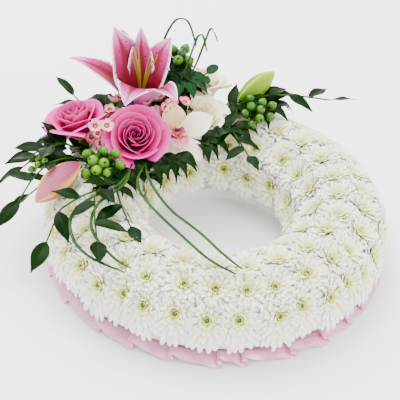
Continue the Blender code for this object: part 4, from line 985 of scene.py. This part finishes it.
# Yellow green below, crimson in the well
split = add_node(tree, "ShaderNodeSeparateXYZ", links={
    "Vector": add_node(tree, "ShaderNodeUVMap", {"uv_map": "length"}).outputs["UV"]})
hue = add_node(tree, "ShaderNodeValToRGB", {"stops": ((0.2, "#748803"), (0.55, "#B5A678"), (0.72, "#A6033F"),
                                                     (0.90, "#880329"), (0.97, "#AC9403"))}, {"Fac": split.outputs["Y"]})
tree.links.new(hue.outputs["Color"], shader.inputs["Base Color"])


def cup_form(t, c, s):
    """A cup with a shallow well in its top."""
    if t < 0.7:
        half, z = 0.30 * math.sin(t / 0.7 * 1.45), -0.5 + 0.62 * t / 0.7
    else:
        half, z = 0.30 * (1 - t) / 0.3, 0.12 - 0.16 * math.sin((t - 0.7) / 0.3 * math.pi / 2)
    return Vector((c * half, s * half, z))


wax_bell = shaped_round(10, 9, cup_form)
wax_blade = shaped_sheet(4, 4, lambda across, along: Vector((
    0.24 + 0.30 * along, across * 0.20 * (0.5 + math.sin(math.pi * min(0.93, 0.25 + 0.62 * along)) * 0.75),
    0.05 + 0.42 * along - 0.10 * along * along - 0.12 * across * across * along)), 0.05)
for name, twig, start, end, more in (("waxflower_left", mm(-148, 80, 112), mm(-164, 44, 130), mm(-138, 104, 150), 16),
                                     ("waxflower_middle", mm(-84, 112, 116), mm(-96, 96, 150), mm(-74, 110, 140), 5)):
    cups, stems = stalked(name)
    copies = [(stems, stems[0], 0.5, 2)]
    for i in range(more):
        spot = start.lerp(end, i / (more - 1)) + Vector([random.uniform(-0.011, 0.011) for _ in range(3)])
        axis = (spot - twig + UP * 0.02 - Vector((0, 0.03, 0))).normalized()
        cups.append((spot, axis, 0.011, 0.0105))
        stalk = rod([twig, twig.lerp(spot, 0.6) + UP * 0.004, spot - axis * 0.005], 0.0007, 0.8, 5, 5)
        copies.append((stalk, stalk[0], 0.5, 2))
    for centre, axis, length, width in cups:
        wide = width * 1.3
        matrix = facing(centre, axis, random.uniform(0, 72)) @ Matrix.Diagonal((wide, wide, length, 1))
        copies.append((wax_bell, put(wax_bell, matrix), 0.5, 1))
        pale = random.choice((0.0, 0.15, 0.5))
        for i in range(5):
            lean = Matrix.Rotation(rad(random.uniform(-10, 10)), 4, "X")
            copies.append((wax_blade, put(wax_blade, matrix @ Matrix.Rotation(rad(72 * i), 4, "Z") @ lean), pale, 0))
    gathered(name + "_twig", copies, [wax_petal, wax_cup, green_stem], "waxflower_petal", [name])

# The grass
# Bear grass: a few long blades in each group, bent over and pushed back among the heads.

grass_skin, tree, shader = new_material("bear_grass_blade", "#143C03", {"Roughness": 0.4, "Specular IOR Level": 0.15})
# Fresh green, lighter in patches of some centimetres
place = add_node(tree, "ShaderNodeTexCoord").outputs["Object"]
patches = add_node(tree, "ShaderNodeTexNoise", {"Scale": 25, "Detail": 3}, {"Vector": place})
hue = add_node(tree, "ShaderNodeValToRGB", {"stops": ((0.35, "#082A03"), (0.65, "#204A03"))}, {"Fac": patches.outputs["Fac"]})
tree.links.new(hue.outputs["Color"], shader.inputs["Base Color"])
for name in ("grass_top", "grass_front_left", "grass_front_right"):
    blades = rounded(cad_mesh(name), 2, 0.0005)
    gathered(name + "_blades", [(blades, blades[0], 0.5, 0)], [grass_skin], "grass_blade", [name])

# The foliage
# Sprigs of soft ruscus and other dark leaves, pushed in round the blooms. The leaves are leathery and
# glossy above, folded a little along the midrib, and paler beneath.


def leaf_fan(tip, rim):
    """True for a leaf's tip: two of the four points round it lie wide apart, and two close together."""
    for a in rim:
        for b in rim:
            if a is not b and not any(e.other_vert(a) is b for e in a.link_edges):
                rest = [v for v in rim if v is not a and v is not b]
                if (a.co - b.co).length > 0.0035 and (rest[0].co - rest[1].co).length < 0.0026:
                    return True
    return False


def wide_pair(points):
    """The two points that lie farthest apart, then the others."""
    pairs = [(a, b) for i, a in enumerate(points) for b in points[i + 1:]]
    a, b = max(pairs, key=lambda pair: (pair[0] - pair[1]).length)
    return a, b, [p for p in points if p is not a and p is not b]


def cad_leaves(node):
    """Each leaf of a CAD sprig as (four points along its midrib, side direction, half width), and the
    bare stem."""
    bm = cad_mesh(node)
    found, gone = [], set()
    for tip in bm.verts:
        rim = [e.other_vert(tip) for e in tip.link_edges]
        if len(rim) != 4 or len(tip.link_faces) != 4 or not leaf_fan(tip, rim):
            continue
        below = {e.other_vert(v) for v in rim for e in v.link_edges} - set(rim) - {tip}
        if len(below) != 4:
            continue
        a, b, rest = wide_pair([v.co for v in rim])
        c, d, low_rest = wide_pair([v.co for v in below])
        if (a - b).dot(c - d) < 0:
            c, d = d, c
        two, one = (rest[0] + rest[1]) / 2, (low_rest[0] + low_rest[1]) / 2
        root = 3 * one - 3 * two + tip.co
        side = ((a - b).normalized() + (c - d).normalized()).normalized()
        found.append(([root, one.copy(), two.copy(), tip.co.copy()], side, (c - d).length / 2 / 0.936))
        gone |= {tip, *rim, *below}
    bmesh.ops.delete(bm, geom=list(gone), context="VERTS")
    return found, rounded(bm)


def leaf(knots, side, half_width, widest=0.42, point=1.25, fold=0.16, wave=0.0008, columns=6, rows=12):
    """A fine leaf on a CAD leaf's own midrib, its upper face upwards."""
    root, one, two, tip = knots
    phase = random.uniform(0, 6.28)
    if side.cross(tip - root).z < 0:
        side = -side

    def spine(t):
        return (root * (1 - 3 * t) * (1 - 1.5 * t) * (1 - t) + one * 9 * t * (1 - 1.5 * t) * (1 - t)
                + two * 4.5 * t * (3 * t - 1) * (1 - t) + tip * t * (3 * t - 1) * (1.5 * t - 1))

    def place(across, along):
        ahead = (spine(along + 0.02) - spine(along - 0.02)).normalized()
        across_way = (side - ahead * side.dot(ahead)).normalized()
        face = across_way.cross(ahead)
        half = half_width * leaf_outline(min(0.999, max(0.001, along)), widest) ** (0.9 if along < widest else point)
        half = max(half, 0.0005)
        lift = fold * abs(across) * half + wave * across * math.sin(9 * along + phase)
        return spine(along) + across_way * across * half + face * lift

    return shaped_sheet(columns, rows, place, 0.0005)


def leaf_material(name, upper, upper_dark, under, roughness, vein_scale):
    """Each leaf in its own tone, with fine veins that run along it and a pale midrib."""
    made, tree, shader = new_material(name, upper, {"Roughness": roughness, "Specular IOR Level": 0.04})
    length_map = add_node(tree, "ShaderNodeUVMap", {"uv_map": "length"}).outputs["UV"]
    split = add_node(tree, "ShaderNodeSeparateXYZ", links={"Vector": length_map})
    vein_map = add_node(tree, "ShaderNodeMapping", {"Scale": (vein_scale, 2, 1)}, {"Vector": length_map})
    veins = add_node(tree, "ShaderNodeTexNoise", {"Scale": 1.0, "Detail": 3}, {"Vector": vein_map.outputs["Vector"]})
    hue = add_node(tree, "ShaderNodeValToRGB", {"stops": ((0.3, upper_dark), (0.7, upper))}, {"Fac": veins.outputs["Fac"]})
    off_middle = add_node(tree, "ShaderNodeMath", {"operation": "SUBTRACT", 1: 0.5}, {0: split.outputs["X"]})
    from_rib = add_node(tree, "ShaderNodeMath", {"operation": "ABSOLUTE"}, {0: off_middle.outputs["Value"]})
    rib = add_node(tree, "ShaderNodeMapRange", {1: 0.012, 2: 0.035, 3: 0.55, 4: 0.0}, {0: from_rib.outputs["Value"]})
    ribbed = add_node(tree, "ShaderNodeMix", {"data_type": "RGBA", 7: linear(under)},
                      {0: rib.outputs["Result"], 6: hue.outputs["Color"]})
    tone = add_node(tree, "ShaderNodeAttribute", {"attribute_name": "tone"}).outputs["Fac"]
    both = add_node(tree, "ShaderNodeMix", {"data_type": "RGBA", 7: linear(under)}, {0: tone, 6: ribbed.outputs[2]})
    relief = add_node(tree, "ShaderNodeBump", {"Strength": 0.35, "Distance": 0.0004}, {"Height": veins.outputs["Fac"]})
    tree.links.new(both.outputs[2], shader.inputs["Base Color"])
    tree.links.new(relief.outputs["Normal"], shader.inputs["Normal"])
    return made


dark_leaf = leaf_material("ruscus_leaf", "#041E03", "#021002", "#1A3806", 0.27, 16)
grey_leaf = leaf_material("eucalyptus_leaf", "#143A1C", "#0A2410", "#30502C", 0.5, 8)

# Where more leaves are tucked in round a sprig: its name, the spot in mm, how many, and the angles they
# fan over
TUCKED = (("ruscus_02", -196, 14, 112, 6, 150, 260), ("ruscus_07", 12, 122, 112, 5, 230, 350),
          ("ruscus_08", 62, 172, 114, 8, 20, 380), ("ruscus_09", -206, 58, 108, 6, 130, 250),
          ("ruscus_10", -160, 138, 120, 8, 0, 320), ("ruscus_11", -104, 160, 122, 8, 0, 320),
          ("ruscus_12", -150, 96, 112, 9, 0, 320), ("ruscus_13", -68, 158, 142, 10, 0, 324),
          ("ruscus_13", -74, 174, 164, 6, 200, 420), ("ruscus_13", -76, 130, 132, 6, 200, 400),
          ("ruscus_14", -84, 36, 112, 8, 190, 350), ("ruscus_14", -64, 44, 114, 5, 262, 345),
          ("ruscus_15", -134, 4, 110, 7, 200, 330), ("ruscus_07", -26, 84, 114, 4, 285, 380),
          ("eucalyptus", -62, 168, 156, 7, 200, 400), ("large_leaves", 22, 178, 118, 5, 250, 380))


def tucked_leaf(spot, at):
    """The midrib of a leaf that leaves a spot among the blooms at this angle, and its side direction."""
    out = polar(random.uniform(0.034, 0.046), at)
    drop = random.uniform(0.002, 0.014)
    return [spot, spot + out / 3 + UP * 0.006, spot + out * 2 / 3 + UP * 0.006, spot + out - UP * drop], polar(1, at + 90)


random.seed(53)
for name in [f"ruscus_{i:02d}" for i in range(1, 16)] + ["large_leaves", "eucalyptus"]:
    leaves, stem = cad_leaves(name)
    look, slot, widest, point = dark_leaf, "dark_leaf", 0.42, 1.25
    if name == "eucalyptus":
        look, slot, widest, point = grey_leaf, "grey_leaf", 0.5, 0.75
    copies = [(stem, stem[0], 0.5, 1)]
    for sprig, x, y, z, count, first, last in TUCKED:
        for i in range(count if sprig == name else 0):
            at = first + (last - first) * i / (count - 1) + random.uniform(-9, 9)
            leaves.append((*tucked_leaf(mm(x, y, z), at), random.uniform(0.008, 0.0105)))
    for knots, side, half_width in leaves:
        shape = leaf(knots, side, half_width * 1.1, widest, point)
        light = random.uniform(0.0, 0.22)
        copies.append((shape, shape[0], two_sided(shape, light, 0.75), 0))
    gathered(name + "_sprig", copies, [look, green_stem], slot, [name])
